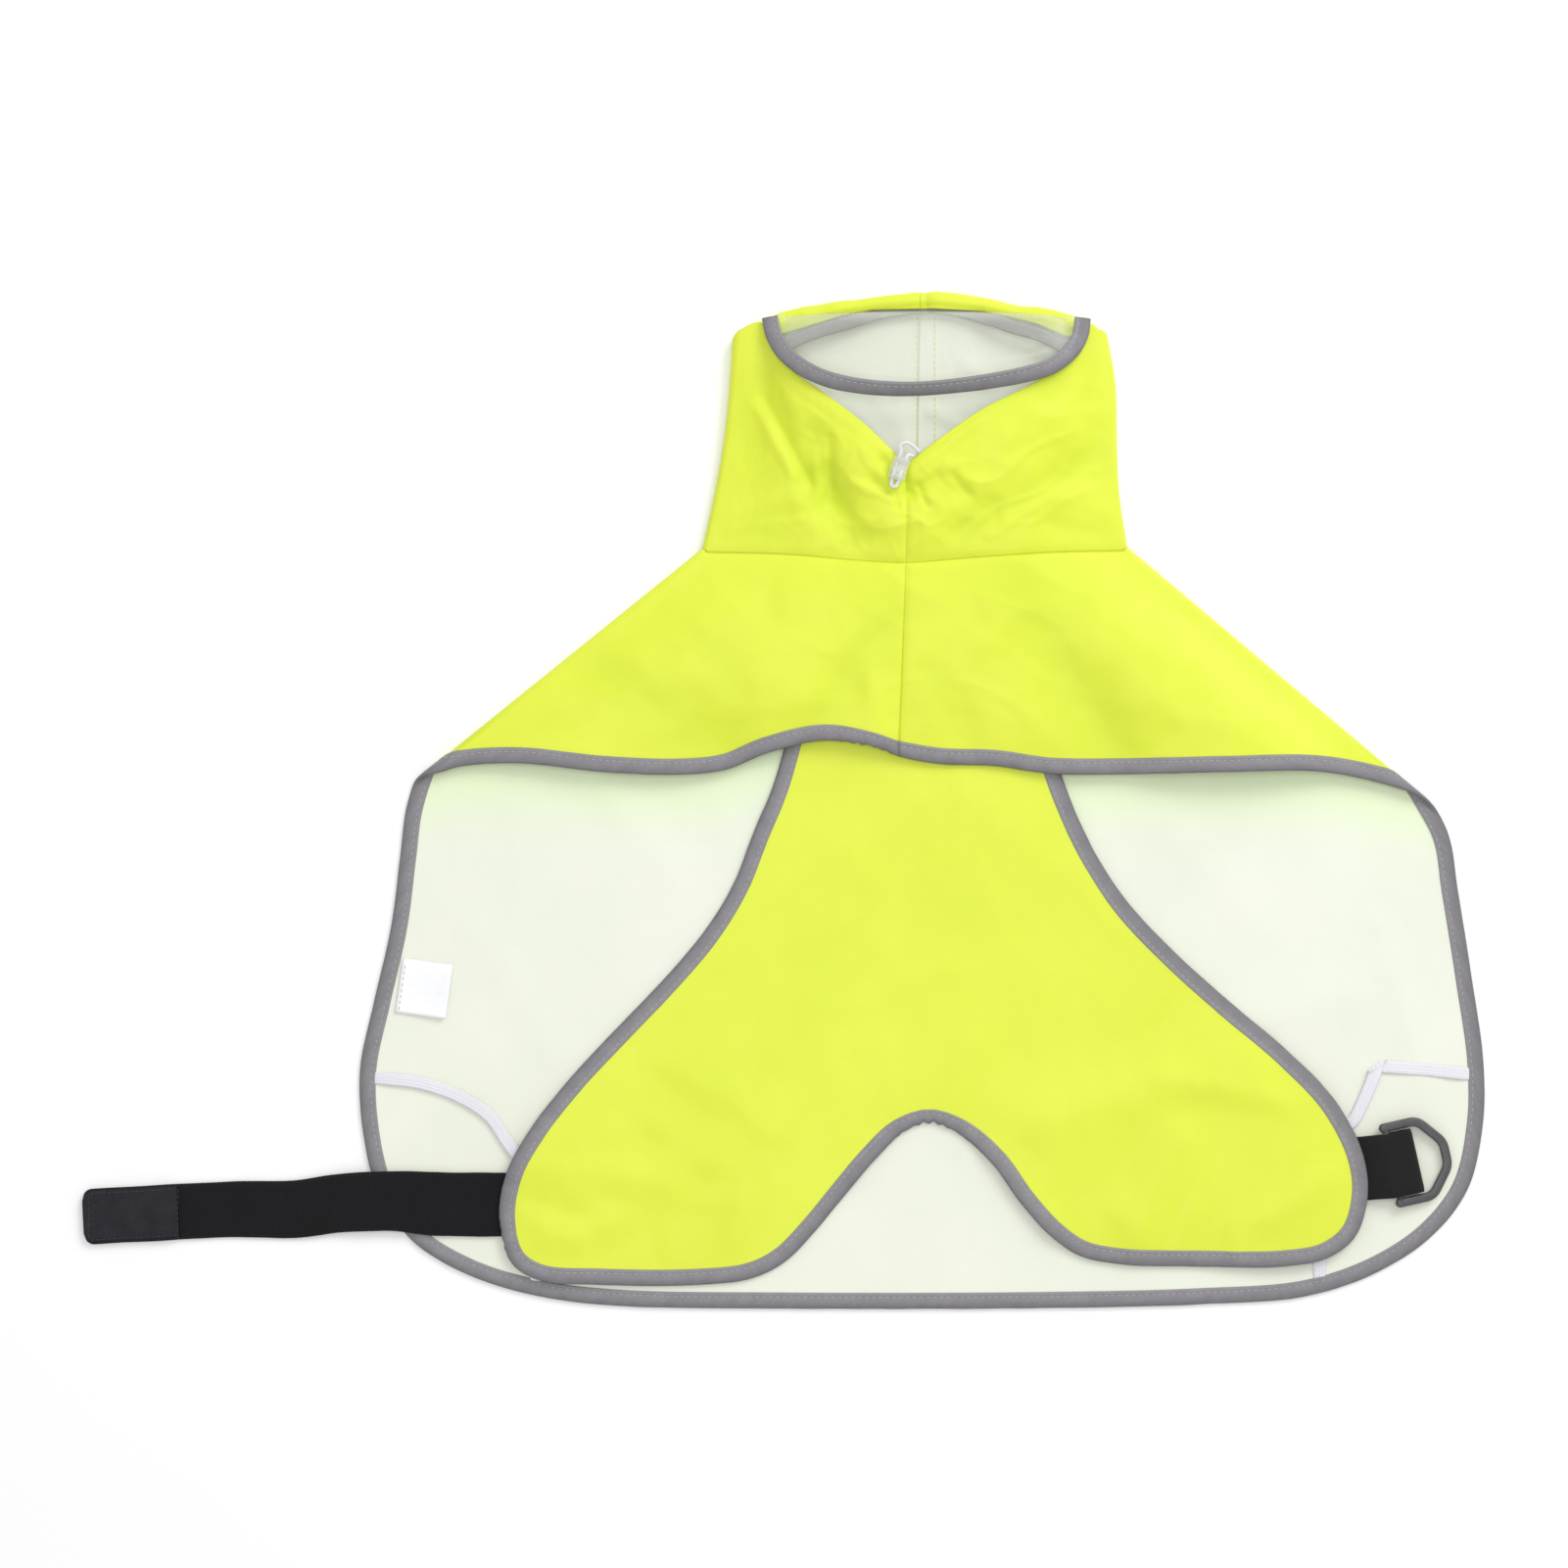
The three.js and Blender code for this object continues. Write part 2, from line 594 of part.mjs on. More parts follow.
function peakGrid() {
  const roots = evenPoints(faceTape, peak.columns);
  const columns = roots.map((tape, k) => {
    const s = k / peak.columns;
    const arch = Math.sin(halfTurn * s);
    const y = peak.chordY + peak.bow * Math.sqrt(arch);
    const chord = new THREE.Vector3(lerp(peak.left, peak.right, s), y, peak.chordZ);
    const root = new THREE.Vector3(lerp(chord.x, tape.x, 0.5), tape.y - 2.6, tape.z + 1.3);
    const near = peakInside(k, tapeWidth + seamGap + 3);
    const span = [0.12, 0.35, 0.6, 0.82].map((t) => {
      const p = chord.clone().lerp(near, t);
      p.z += peak.dome * arch * Math.sin(halfTurn * Math.sqrt(t));
      return p;
    });
    return [root, root.clone().lerp(chord, 0.6), chord, ...span, near, peakInside(k, tapeWidth + seamGap)];
  });
  return columns[0].map((_, i) => columns.map((column) => column[i]));
}

// The belly flap, in three curves from its top at the neck seam, to the outer edge of its binding
const flapLeft = [
  { x: -52, y: 110 },
  { x: -55, y: 70 },
  { x: -62, y: 36 },
  { x: -69.5, y: 8 },
  { x: -79, y: -15 },
  { x: -88, y: -38 },
  { x: -102, y: -61 },
  { x: -121.5, y: -84 },
  { x: -143.5, y: -107 },
  { x: -165, y: -130 },
  { x: -183, y: -153 },
  { x: -194.5, y: -174 },
  { x: -198, y: -196 },
  { x: -193, y: -215 },
];
const flapBottom = [
  { x: -180, y: -224 },
  { x: -150, y: -226.4 },
  { x: -106, y: -226.6 },
  { x: -80, y: -223.6 },
  { x: -64.5, y: -216 },
  { x: -50, y: -201.5 },
  { x: -36, y: -184.5 },
  { x: -22, y: -168 },
  { x: -9, y: -156 },
  { x: 4, y: -152 },
  { x: 18, y: -157 },
  { x: 33, y: -170 },
  { x: 46, y: -188 },
  { x: 60, y: -203.5 },
  { x: 74, y: -213 },
  { x: 90, y: -216.6 },
  { x: 130, y: -218 },
  { x: 170, y: -217.6 },
  { x: 190, y: -213.6 },
];
const flapRight = [
  { x: 203, y: -203 },
  { x: 208.4, y: -185 },
  { x: 206.5, y: -166 },
  { x: 194, y: -141 },
  { x: 172.5, y: -118 },
  { x: 145.5, y: -95 },
  { x: 120, y: -72 },
  { x: 98, y: -49 },
  { x: 82.5, y: -26 },
  { x: 71.5, y: -3 },
  { x: 62, y: 24 },
  { x: 54, y: 66 },
  { x: 50, y: 110 },
];
const flapCount = { side: 18, bottom: 38 };
const flapRows = [...flapLeft, ...flapBottom, ...flapRight];
const flapEdge = evenPoints(flapRows, denseCount).map((p) => new THREE.Vector2(p.x, p.y));
const nearestPlace = (points, target) =>
  points.reduce((best, p, k) => (p.distanceTo(target) < points[best].distanceTo(target) ? k : best), 0);
const lowerLeft = nearestPlace(flapEdge, new THREE.Vector2(-190, -219));
const lowerRight = nearestPlace(flapEdge, new THREE.Vector2(198, -209));
const flapPlaces = {
  left: resample(flapEdge, 0, lowerLeft, flapCount.side),
  bottom: resample(flapEdge, lowerLeft, lowerRight, flapCount.bottom),
  right: resample(flapEdge, lowerRight, denseCount, flapCount.side),
};

// Height of the flap's middle: on the back, over the straps at its two lobes, and up to the neck seam
const lobeLift = { left: 1.8, right: 3.4 };
function flapHeight(x, y) {
  const lift = x < 0 ? lobeLift.left : lobeLift.right;
  const lobe = lift * ease(118, 182, Math.abs(x)) * ease(-96, -148, y);
  const overBinding = cloth + bindingLift + seamGap + tapeThick / 2;
  const onBack = overBinding + backLift(x, y) + lobe - creaseDepth(creases.flap, x, y);
  const underFront = 2 * shoulderRadius + frontRise(x, y) - seamGap - tapeThick / 2 - 0.3;
  return lerp(onBack, Math.max(onBack, underFront), ease(22, 110, y));
}
const layFlap = (p) => new THREE.Vector3(p.x, p.y, flapHeight(p.x, p.y));

// A patch between four edges, which follows all of them
function flapGrid() {
  const inner = inset(flapEdge, tapeWidth + seamGap);
  const left = flapPlaces.left.map((k) => pointAt(inner, k));
  const bottom = flapPlaces.bottom.map((k) => pointAt(inner, k));
  const right = flapPlaces.right.map((k) => pointAt(inner, k)).reverse();
  const grid = [];
  for (let i = 0; i <= flapCount.side; i++) {
    const row = [];
    for (let j = 0; j <= flapCount.bottom; j++) {
      const s = j / flapCount.bottom;
      const v = i / flapCount.side;
      const topPoint = left[0].clone().lerp(right[0], s);
      const p = left[i].clone().multiplyScalar(1 - s).addScaledVector(right[i], s);
      p.addScaledVector(topPoint, 1 - v).addScaledVector(bottom[j], v);
      p.addScaledVector(left[0], -(1 - s) * (1 - v)).addScaledVector(right[0], -s * (1 - v));
      p.addScaledVector(left[flapCount.side], -(1 - s) * v).addScaledVector(right[flapCount.side], -s * v);
      row.push(layFlap(p));
    }
    grid.push(row.reverse());
  }
  return grid;
}
function flapBindingGrid() {
  const places = [...flapPlaces.left, ...flapPlaces.bottom.slice(1), ...flapPlaces.right.slice(1)];
  return bindingRows.map((row) => {
    const line = inset(flapEdge, tapeWidth * row.share);
    return places.map((k) => layFlap(pointAt(line, k))).reverse();
  });
}

// The leash flap, under the back: a tongue from the neck seam with a bound edge
function tongue(distance) {
  const half = leashFlap.width / 2 - distance;
  const radius = leashFlap.corner - distance;
  const low = leashFlap.top - leashFlap.length + distance;
  const shape = new THREE.Path();
  shape.moveTo(leashFlap.x - half, leashFlap.top);
  shape.lineTo(leashFlap.x - half, low + radius);
  shape.absarc(leashFlap.x - half + radius, low + radius, radius, halfTurn, 1.5 * halfTurn);
  shape.absarc(leashFlap.x + half - radius, low + radius, radius, 1.5 * halfTurn, 2 * halfTurn);
  shape.lineTo(leashFlap.x + half, leashFlap.top);
  return shape.getPoints(8);
}
const slab = (points, thick, holes = []) => {
  const shape = new THREE.Shape(points);
  holes.forEach((h) => shape.holes.push(new THREE.Path(h)));
  return new THREE.ExtrudeGeometry(shape, { depth: thick, bevelEnabled: false });
};
const leashFlapPanel = () => slab(tongue(tapeWidth + seamGap), cloth);
const leashFlapBinding = () => slab([...tongue(0), ...tongue(tapeWidth).reverse()], cloth);

// The belly strap: elastic from under the left lobe, over the coat's edge and down to the surface
const strapLine = [
  { x: -190, y: -189, z: 2.1, width: 29.8 },
  { x: -208, y: -189, z: 2.2, width: 29.8 },
  { x: -228, y: -188.6, z: 2.6, width: 29.6 },
  { x: -246, y: -187.4, z: 3, width: 28 },
  { x: -262, y: -187.6, z: 3.3, width: 27.6 },
  { x: -276, y: -189, z: 2.1, width: 27 },
  { x: -292, y: -191, z: 1.05, width: 26.8 },
  { x: -312, y: -191.4, z: 0.78, width: 26.4 },
  { x: -330, y: -191.6, z: 0.76, width: 26 },
  { x: -366, y: -193.4, z: 0.76, width: 26 },
  { x: -393, y: -195, z: 0.76, width: 26 },
];
const hookTab = { length: 45, thick: 1.3, inset: 0.6 };
function strapPieces() {
  const centres = evenPoints(strapLine, 44);
  const widthAt = (x) => tableAt([...strapLine].reverse(), x, "width");
  const rounded = (j, last) => {
    const fromEnd = (last - j) * (203 / 44);
    return fromEnd < 4.5 ? 3.2 * (1 - fromEnd / 4.5) ** 2 : 0;
  };
  const strap = wall(ribbonGrid(centres, (j) => widthAt(centres[j].x) - 2 * rounded(j, 44)), elastic.thick);
  const tabCentres = centres
    .filter((c) => c.x < -393 + hookTab.length)
    .map((c) => c.clone().setZ(c.z + (elastic.thick + hookTab.thick) / 2 + seamGap));
  const last = tabCentres.length - 1;
  const tabWidth = (j) => widthAt(tabCentres[j].x) - 2 * rounded(j, last) - 2 * hookTab.inset;
  return { strap, tab: wall(ribbonGrid(tabCentres, tabWidth), hookTab.thick) };
}

// The webbing loop that holds the ring: down one side of the bar, round, and back over it
const ringGroup = (() => {
  const group = new THREE.Group();
  group.position.set(ringBar.x, ringBar.y, 0);
  group.rotation.z = radians(ringBar.turn);
  return group;
})();
const loop = { root: -20, fold: 11.3, lean: 0.12, floor: cloth + 2 * seamGap + webbing.thick / 2 + 0.2 };
loop.rise = webbing.thick + ringBar.diameter + 2 * seamGap;
const barHeight = loop.floor + loop.rise / 2;
function webbingLoop() {
  const radius = loop.rise / 2;
  const path = [];
  const pressed = webbing.thick + seamGap;
  [loop.root, -14, -7, 0, loop.fold - radius].forEach((x) => path.push([x, loop.floor]));
  for (let k = 1; k < 6; k++) {
    const angle = (halfTurn * k) / 6;
    path.push([loop.fold - radius + radius * Math.sin(angle), loop.floor + radius * (1 - Math.cos(angle))]);
  }
  const top = loop.floor + loop.rise;
  path.push([loop.fold - radius, top], [0, top], [-3, top]);
  path.push([-8, loop.floor + loop.rise * 0.68]);
  path.push([-13, loop.floor + pressed + 0.1], [loop.root, loop.floor + pressed]);
  const half = webbing.width / 2;
  const aside = (x) => loop.lean * Math.max(0, -2 - x);
  const line = (y) => path.map(([x, z]) => new THREE.Vector3(x, y + aside(x), z));
  return wall([line(half), line(-half)], webbing.thick);
}

// Meshes in and out of the library that joins and cuts solids
function solid(geometry) {
  const bare = geometry.clone();
  bare.deleteAttribute("normal");
  bare.deleteAttribute("uv");
  const merged = mergeVertices(bare, 1e-4);
  const triVerts = new Uint32Array(merged.index.array);
  const mesh = new wasm.Mesh({ numProp: 3, vertProperties: merged.attributes.position.array, triVerts });
  return new wasm.Manifold(mesh);
}
function geometryOf(made) {
  const { vertProperties, triVerts } = made.getMesh();
  const geometry = new THREE.BufferGeometry();
  geometry.setAttribute("position", new THREE.Float32BufferAttribute(Array.from(vertProperties), 3));
  geometry.setIndex(Array.from(triVerts));
  return geometry;
}

// The ring: a straight round bar in the webbing, two arms and a blunt point; it turns about the bar
const ring = { inner: 31.6, arm: 4.2, thick: 3.2, shoulder: 15, reach: 27.5, blunt: 6, back: 2.8, corner: 5 };
ring.droop = 3.4; // degrees that its point hangs towards the coat
// A closed outline with its corners rounded
function roundedOutline(corners, radius) {
  const shape = new THREE.Shape();
  corners.forEach((c, k) => {
    const before = corners[(k + corners.length - 1) % corners.length];
    const after = corners[(k + 1) % corners.length];
    const from = c.clone().add(before.clone().sub(c).setLength(radius[k]));
    const to = c.clone().add(after.clone().sub(c).setLength(radius[k]));
    if (k === 0) shape.moveTo(from.x, from.y);
    else shape.lineTo(from.x, from.y);
    shape.quadraticCurveTo(c.x, c.y, to.x, to.y);
  });
  return shape;
}
function ringSolid() {
  const outline = (grow) => {
    const half = ring.inner / 2 + ring.arm + grow;
    const shoulder = ring.shoulder + grow * 0.35;
    const blunt = ring.blunt + grow * 0.35;
    return [
      [-ring.back, -half],
      [shoulder, -half],
      [ring.reach + grow, -blunt],
      [ring.reach + grow, blunt],
      [shoulder, half],
      [-ring.back, half],
    ].map(([x, y]) => new THREE.Vector2(x, y));
  };
  const outer = roundedOutline(outline(0), [1.6, ring.corner, ring.corner, ring.corner, ring.corner, 1.6]);
  const opened = outline(-ring.arm).map((p) => (p.x < 0 ? p.setX(-9) : p));
  const hole = roundedOutline(opened, [1, 3, 3.5, 3.5, 3, 1]);
  const edge = 0.7;
  const bevels = { bevelThickness: edge, bevelSize: edge, bevelOffset: -edge, bevelSegments: 2 };
  const steps = { depth: ring.thick - 2 * edge, ...bevels, curveSegments: 5 };
  const frame = new THREE.ExtrudeGeometry(outer, steps).translate(0, 0, edge - ring.thick / 2);
  const window = new THREE.ExtrudeGeometry(hole, { depth: ring.thick * 2, bevelEnabled: false, curveSegments: 5 });
  window.translate(0, 0, -ring.thick);
  const bar = new THREE.CylinderGeometry(ringBar.diameter / 2, ringBar.diameter / 2, ring.inner + 4, 16);
  return geometryOf(solid(frame).subtract(solid(window)).add(solid(bar)));
}

// The narrow white leg elastics on the lining, each from the side hem to the tail hem
const legLines = {
  left: [
    { x: -254.3, y: -130 },
    { x: -235, y: -132.3 },
    { x: -217, y: -138.5 },
    { x: -203, y: -147.5 },
    { x: -193.5, y: -161 },
    { x: -186, y: -171.5 },
    { x: -181.5, y: -184 },
    { x: -180.5, y: -222 },
  ],
  right: [
    { x: 254.6, y: -127.6 },
    { x: 234, y: -124.6 },
    { x: 219, y: -124.4 },
    { x: 212.5, y: -128 },
    { x: 205.7, y: -143 },
    { x: 203.2, y: -149.4 },
    { x: 196.2, y: -154.2 },
    { x: 189.5, y: -160 },
    { x: 186.6, y: -170 },
    { x: 186.2, y: -220.6 },
  ],
};
function legBand(rows) {
  const height = cloth + bindingLift + seamGap + legElastic.thick / 2;
  const centres = evenPoints(rows.map((r) => ({ ...r, z: height })), 22);
  return wall(ribbonGrid(centres, () => legElastic.width), legElastic.thick);
}

function careLabel() {
  const { width, height } = label;
  const corner = 2.5;
  const shape = new THREE.Shape();
  shape.moveTo(-width / 2, -height / 2);
  shape.lineTo(width / 2 - corner, -height / 2);
  shape.absarc(width / 2 - corner, corner - height / 2, corner, -halfTurn / 2, 0);
  shape.absarc(width / 2 - corner, height / 2 - corner, corner, 0, halfTurn / 2);
  shape.lineTo(-width / 2, height / 2);
  const made = new THREE.ExtrudeGeometry(shape, { depth: 0.6, bevelEnabled: false, curveSegments: 4 });
  return made.rotateZ(radians(label.turn)).translate(label.x, label.y, cloth + bindingLift + seamGap);
}

// The drawcord's loop and its clear lock, on the front of the hood below the face opening
const lock = { x: -11, y: 154.6, z: 21.6, length: 12, width: 9, thick: 6.4, turn: -18, slot: 5.4 };
const cordLoop = [
  { x: 6.4, y: 10.6, z: -2.2 },
  { x: 3.4, y: 12, z: -0.6 },
  { x: -0.4, y: 12.6, z: 0.2 },
  { x: -2.6, y: 10.6, z: 0.2 },
  { x: -1.6, y: 7.6, z: 0 },
  { x: -1.5, y: 3, z: 0 },
  { x: -1.5, y: -6, z: 0 },
  { x: -0.9, y: -8.4, z: 0 },
  { x: 0.9, y: -8.4, z: 0 },
  { x: 1.5, y: -6, z: 0 },
  { x: 1.5, y: 5.4, z: 0 },
  { x: 2.2, y: 7.6, z: -0.4 },
  { x: 4.4, y: 8, z: -2 },
];
const lockGroup = (() => {
  const group = new THREE.Group();
  group.position.set(lock.x, lock.y, lock.z);
  group.rotation.z = radians(lock.turn);
  return group;
})();
function lockSolid() {
  const corner = 2.4;
  const w = lock.width / 2 - corner;
  const l = lock.length / 2 - corner;
  const shape = new THREE.Shape();
  [
    [w, -l, -0.5],
    [w, l, 0],
    [-w, l, 0.5],
    [-w, -l, 1],
  ].forEach(([x, y, turn]) => shape.absarc(x, y, corner, turn * halfTurn, (turn + 0.5) * halfTurn));
  const edge = 1.2;
  const bevels = { bevelThickness: edge, bevelSize: edge, bevelOffset: -edge, bevelSegments: 2 };
  const steps = { depth: lock.thick - 2 * edge, ...bevels, curveSegments: 3 };
  const body = new THREE.ExtrudeGeometry(shape, steps).translate(0, 0, edge - lock.thick / 2);
  const slot = new THREE.BoxGeometry(lock.slot, lock.length * 2, cord.diameter + 2 * seamGap);
  return geometryOf(solid(body).subtract(solid(slot)));
}
function cordSolid() {
  const path = curveThrough(cordLoop);
  const section = new THREE.Shape();
  section.absarc(0, 0, cord.diameter / 2, 0, 2 * halfTurn);
  const steps = { steps: 40, extrudePath: path, curveSegments: cord.sides };
  const round = new THREE.Shape(section.getPoints(cord.sides).slice(0, cord.sides));
  return new THREE.ExtrudeGeometry(round, steps);
}

// Materials
const paint = (color, roughness, extra = {}) =>
  new THREE.MeshStandardMaterial({ color, roughness, metalness: 0, ...extra });
const materials = {
  shell: paint(0xe2f23e, 0.5),
  tape: paint(0x828186, 0.55),
  clear: paint(0xe9eee2, 0.12, { transparent: true, opacity: 0.3 }),
  black: paint(0x1d1d20, 0.8),
  hook: paint(0x2a2a33, 0.9),
  plastic: paint(0x5c5a5d, 0.4),
  white: paint(0xeceaf0, 0.75),
  label: paint(0xf8f8fa, 0.5),
};
const coat = new THREE.Group();
function add(name, geometry, material, parent = coat) {
  const mesh = new THREE.Mesh(geometry, materials[material]);
  mesh.name = name;
  parent.add(mesh);
  return mesh;
}

add("cape", wall(capeGrid(), cloth), "shell");
add("cape_binding", wall(capeBindingGrid(), bindingRows.map((r) => r.thick)), "tape");
add("hood_left", wall(hoodHalf(0, hoodMiddle), cloth), "shell");
add("hood_right", wall(hoodHalf(hoodMiddle, lastColumn), cloth), "shell");
add("face_tape", wall(ribbonGrid(evenPoints(faceTape, peak.columns), () => faceTapeWidth), 0.8), "tape");
add("peak", wall(peakGrid(), peak.thick), "clear");
const peakBinding = bindingRows.map((row) => edgeLine.map((_, k) => peakInside(k, tapeWidth * row.share)));
add("peak_binding", wall(peakBinding, bindingRows.map((r) => r.thick)), "tape");
add("belly_flap", wall(flapGrid(), cloth), "shell");
add("belly_flap_binding", wall(flapBindingGrid(), bindingRows.map((r) => r.thick)), "tape");
add("leash_flap", leashFlapPanel(), "shell");
add("leash_flap_binding", leashFlapBinding(), "tape");
const { strap, tab } = strapPieces();
add("belly_strap", strap, "black");
add("hook_tab", tab, "hook");
coat.add(ringGroup);
add("ring_webbing", webbingLoop(), "black", ringGroup);
const ringMesh = add("ring", ringSolid(), "plastic", ringGroup);
ringMesh.position.z = barHeight;
ringMesh.rotation.y = radians(ring.droop);
add("leg_elastic_left", legBand(legLines.left), "white");
add("leg_elastic_right", legBand(legLines.right), "white");
add("care_label", careLabel(), "label");
coat.add(lockGroup);
add("cord_lock", lockSolid(), "clear", lockGroup);
add("drawcord", cordSolid(), "white", lockGroup);

export default coat;
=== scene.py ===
from bisect import bisect_left
from math import cos, exp, hypot, pi, radians, sin, sqrt
import bmesh
import bpy
from mathutils import Matrix, Vector, noise


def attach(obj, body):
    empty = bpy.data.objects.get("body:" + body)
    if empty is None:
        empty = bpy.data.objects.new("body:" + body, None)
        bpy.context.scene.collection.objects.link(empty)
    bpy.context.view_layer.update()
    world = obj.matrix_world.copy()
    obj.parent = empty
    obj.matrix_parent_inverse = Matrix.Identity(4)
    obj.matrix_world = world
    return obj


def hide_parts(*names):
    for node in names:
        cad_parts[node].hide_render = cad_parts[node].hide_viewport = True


# A hooded dog raincoat, laid out belly side up. The tables are in millimetres, in the frame of the CAD:
# X across the coat, Y from the tail hem to the hood, Z up from the surface it lies on.
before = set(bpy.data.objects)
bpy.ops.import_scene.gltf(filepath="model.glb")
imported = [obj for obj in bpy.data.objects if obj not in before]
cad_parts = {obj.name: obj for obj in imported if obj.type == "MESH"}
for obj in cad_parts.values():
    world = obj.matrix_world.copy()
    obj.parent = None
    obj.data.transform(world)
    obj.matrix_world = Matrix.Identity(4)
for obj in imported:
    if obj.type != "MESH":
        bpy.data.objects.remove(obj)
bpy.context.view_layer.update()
mm = 0.001

# ---- camera, floor and light
studio = {
    "middle": (-64.6, 8.05, 4),  # what the camera looks at
    "frameWidth": 736,
    "lens": 95,
    "tilt": 1.5,  # degrees from straight overhead, towards the tail hem
    "floor": (0.99, 0.99, 0.99, 1),
    "sky": 0.61,
    "keyPower": 26,
    "frontPower": 14,
}


def setStudio():
    scene = bpy.context.scene
    scene.view_settings.view_transform = "Standard"
    data = bpy.data.cameras.new("camera")
    data.lens = studio["lens"]
    camera = bpy.data.objects.new("camera", data)
    tilt = radians(studio["tilt"])
    back = Vector((0, -sin(tilt), cos(tilt)))
    distance = studio["frameWidth"] * mm * data.lens / data.sensor_width
    camera.location = Vector(studio["middle"]) * mm + back * distance
    camera.rotation_mode = "QUATERNION"
    camera.rotation_quaternion = (-back).to_track_quat("-Z", "Y")
    scene.collection.objects.link(camera)
    scene.camera = camera

    sky = bpy.data.worlds.new("sky")
    sky.use_nodes = True
    sky.node_tree.nodes["Background"].inputs["Color"].default_value = (1, 1, 1, 1)
    sky.node_tree.nodes["Background"].inputs["Strength"].default_value = studio["sky"]
    scene.world = sky
    lamps = (
        ("key", (1.15, 1.5, 1.55), 1.2, studio["keyPower"]),
        ("front", (-0.1, 0.05, 2.3), 1, studio["frontPower"]),
    )
    for name, place, size, power in lamps:
        lamp = bpy.data.lights.new(name, "AREA")
        lamp.size = size
        lamp.energy = power
        holder = bpy.data.objects.new(name, lamp)
        holder.location = place
        holder.rotation_mode = "QUATERNION"
        holder.rotation_quaternion = (-Vector(place)).to_track_quat("-Z", "Y")
        scene.collection.objects.link(holder)


# ---- finishes
def colour(red, green, blue):
    # From a picture's 0 to 255 to what a shader wants
    def light(c):
        c /= 255
        return c / 12.92 if c <= 0.04045 else ((c + 0.055) / 1.055) ** 2.4

    return (light(red), light(green), light(blue), 1)


class Wire:
    # One socket of a finish; sums written with it become Math nodes
    def __init__(self, finish, socket):
        self.finish = finish
        self.socket = socket

    def maths(self, operation, a, b=0):
        return self.finish.node("ShaderNodeMath", {"operation": operation}, {0: a, 1: b})

    def __add__(self, other):
        return self.maths("ADD", self, other)

    def __radd__(self, other):
        return self.maths("ADD", other, self)

    def __sub__(self, other):
        return self.maths("SUBTRACT", self, other)

    def __rsub__(self, other):
        return self.maths("SUBTRACT", other, self)

    def __mul__(self, other):
        return self.maths("MULTIPLY", self, other)

    def __rmul__(self, other):
        return self.maths("MULTIPLY", other, self)

    def sine(self):
        return self.maths("SINE", self)

    def size(self):
        return self.maths("ABSOLUTE", self)


class Finish:
    def __init__(self, name, constants):
        self.material = bpy.data.materials.new(name)
        self.material.use_nodes = True
        self.tree = self.material.node_tree
        self.shader = self.tree.nodes["Principled BSDF"]
        for socket, value in constants.items():
            self.shader.inputs[socket].default_value = value

    def node(self, kind, settings=None, values=None, output=0):
        made = self.tree.nodes.new(kind)
        for name, value in (settings or {}).items():
            if name == "stops":
                ramp = made.color_ramp.elements
                ramp[0].position, ramp[0].color = value[0]
                ramp[1].position, ramp[1].color = value[-1]
                for place, shade in value[1:-1]:
                    ramp.new(place).color = shade
            else:
                setattr(made, name, value)
        for name, value in (values or {}).items():
            self.feed(made.inputs[name], value)
        return Wire(self, made.outputs[output])

    def feed(self, socket, value):
        if isinstance(value, Wire):
            self.tree.links.new(value.socket, socket)
        else:
            socket.default_value = value

    def set(self, socket, value):
        self.feed(self.shader.inputs[socket], value)

    # The piece's own flat cut, in millimetres
    def cut(self):
        place = self.node("ShaderNodeUVMap", {"uv_map": "cut"})
        return self.node("ShaderNodeMapping", {}, {"Vector": place, "Scale": (1000, 1000, 1000)})

    # The place in the coat, in millimetres
    def place(self):
        place = self.node("ShaderNodeTexCoord", {}, {}, "Object")
        return self.node("ShaderNodeMapping", {}, {"Vector": place, "Scale": (1000, 1000, 1000)})

    def split(self, vector):
        parts = self.tree.nodes.new("ShaderNodeSeparateXYZ")
        self.feed(parts.inputs[0], vector)
        return [Wire(self, parts.outputs[k]) for k in range(3)]

    def stretched(self, vector, scale, turn=0):
        values = {"Vector": vector, "Scale": scale, "Rotation": (0, 0, radians(turn))}
        return self.node("ShaderNodeMapping", {}, values)

    def cloud(self, vector, scale, detail=2, rough=0.5):
        values = {"Vector": vector, "Scale": scale, "Detail": detail, "Roughness": rough}
        return self.node("ShaderNodeTexNoise", {}, values)

    def ramp(self, factor, *stops):
        return self.node("ShaderNodeValToRGB", {"stops": stops}, {"Fac": factor})

    def mixed(self, factor, a, b):
        return self.node("ShaderNodeMix", {"data_type": "RGBA"}, {0: factor, 6: a, 7: b}, 2)

    # A height in millimetres
    def relief(self, height, strength=1):
        self.set("Normal", self.node("ShaderNodeBump", {}, {"Strength": strength, "Distance": mm, "Height": height}))


def coatedCloth(name, base, deep, paintedShadeTone, threadDepth, wrinkle, constants):
    finish = Finish(name, constants)
    cut = finish.cut()
    across, along, _ = finish.split(cut)
    broad = finish.cloud(cut, 0.012, 3)
    small = finish.cloud(cut, 0.09, 4, 0.6)
    grain = finish.cloud(cut, 1.6, 2)
    patch = finish.ramp(broad, (0.36, (0, 0, 0, 1)), (0.66, (1, 1, 1, 1)))
    tone = patch * 0.6 + small * 0.4
    # Painted shade: the cloth goes towards its third tone where the mesh's painted-shade attribute says, darker in
    # creases and under the hood's roll, and on the lining a yellowish shade beside the front's hem
    paintedShadeMix = finish.node("ShaderNodeAttribute", {"attribute_name": "sunk"}, {}, "Fac")
    finish.set("Base Color", finish.mixed(paintedShadeMix * 0.6, finish.mixed(tone, base, deep), paintedShadeTone))
    finish.set("Roughness", constants["Roughness"] - 0.06 + small * 0.12)
    weave = (across * (2 * pi / 0.62)).sine() * (along * (2 * pi / 0.62)).sine()
    puckered = finish.cloud(finish.stretched(cut, (1, 0.45, 1), 18), 0.07, 3, 0.55)
    finish.relief(weave * threadDepth + grain * 0.02 + puckered * wrinkle)
    return finish


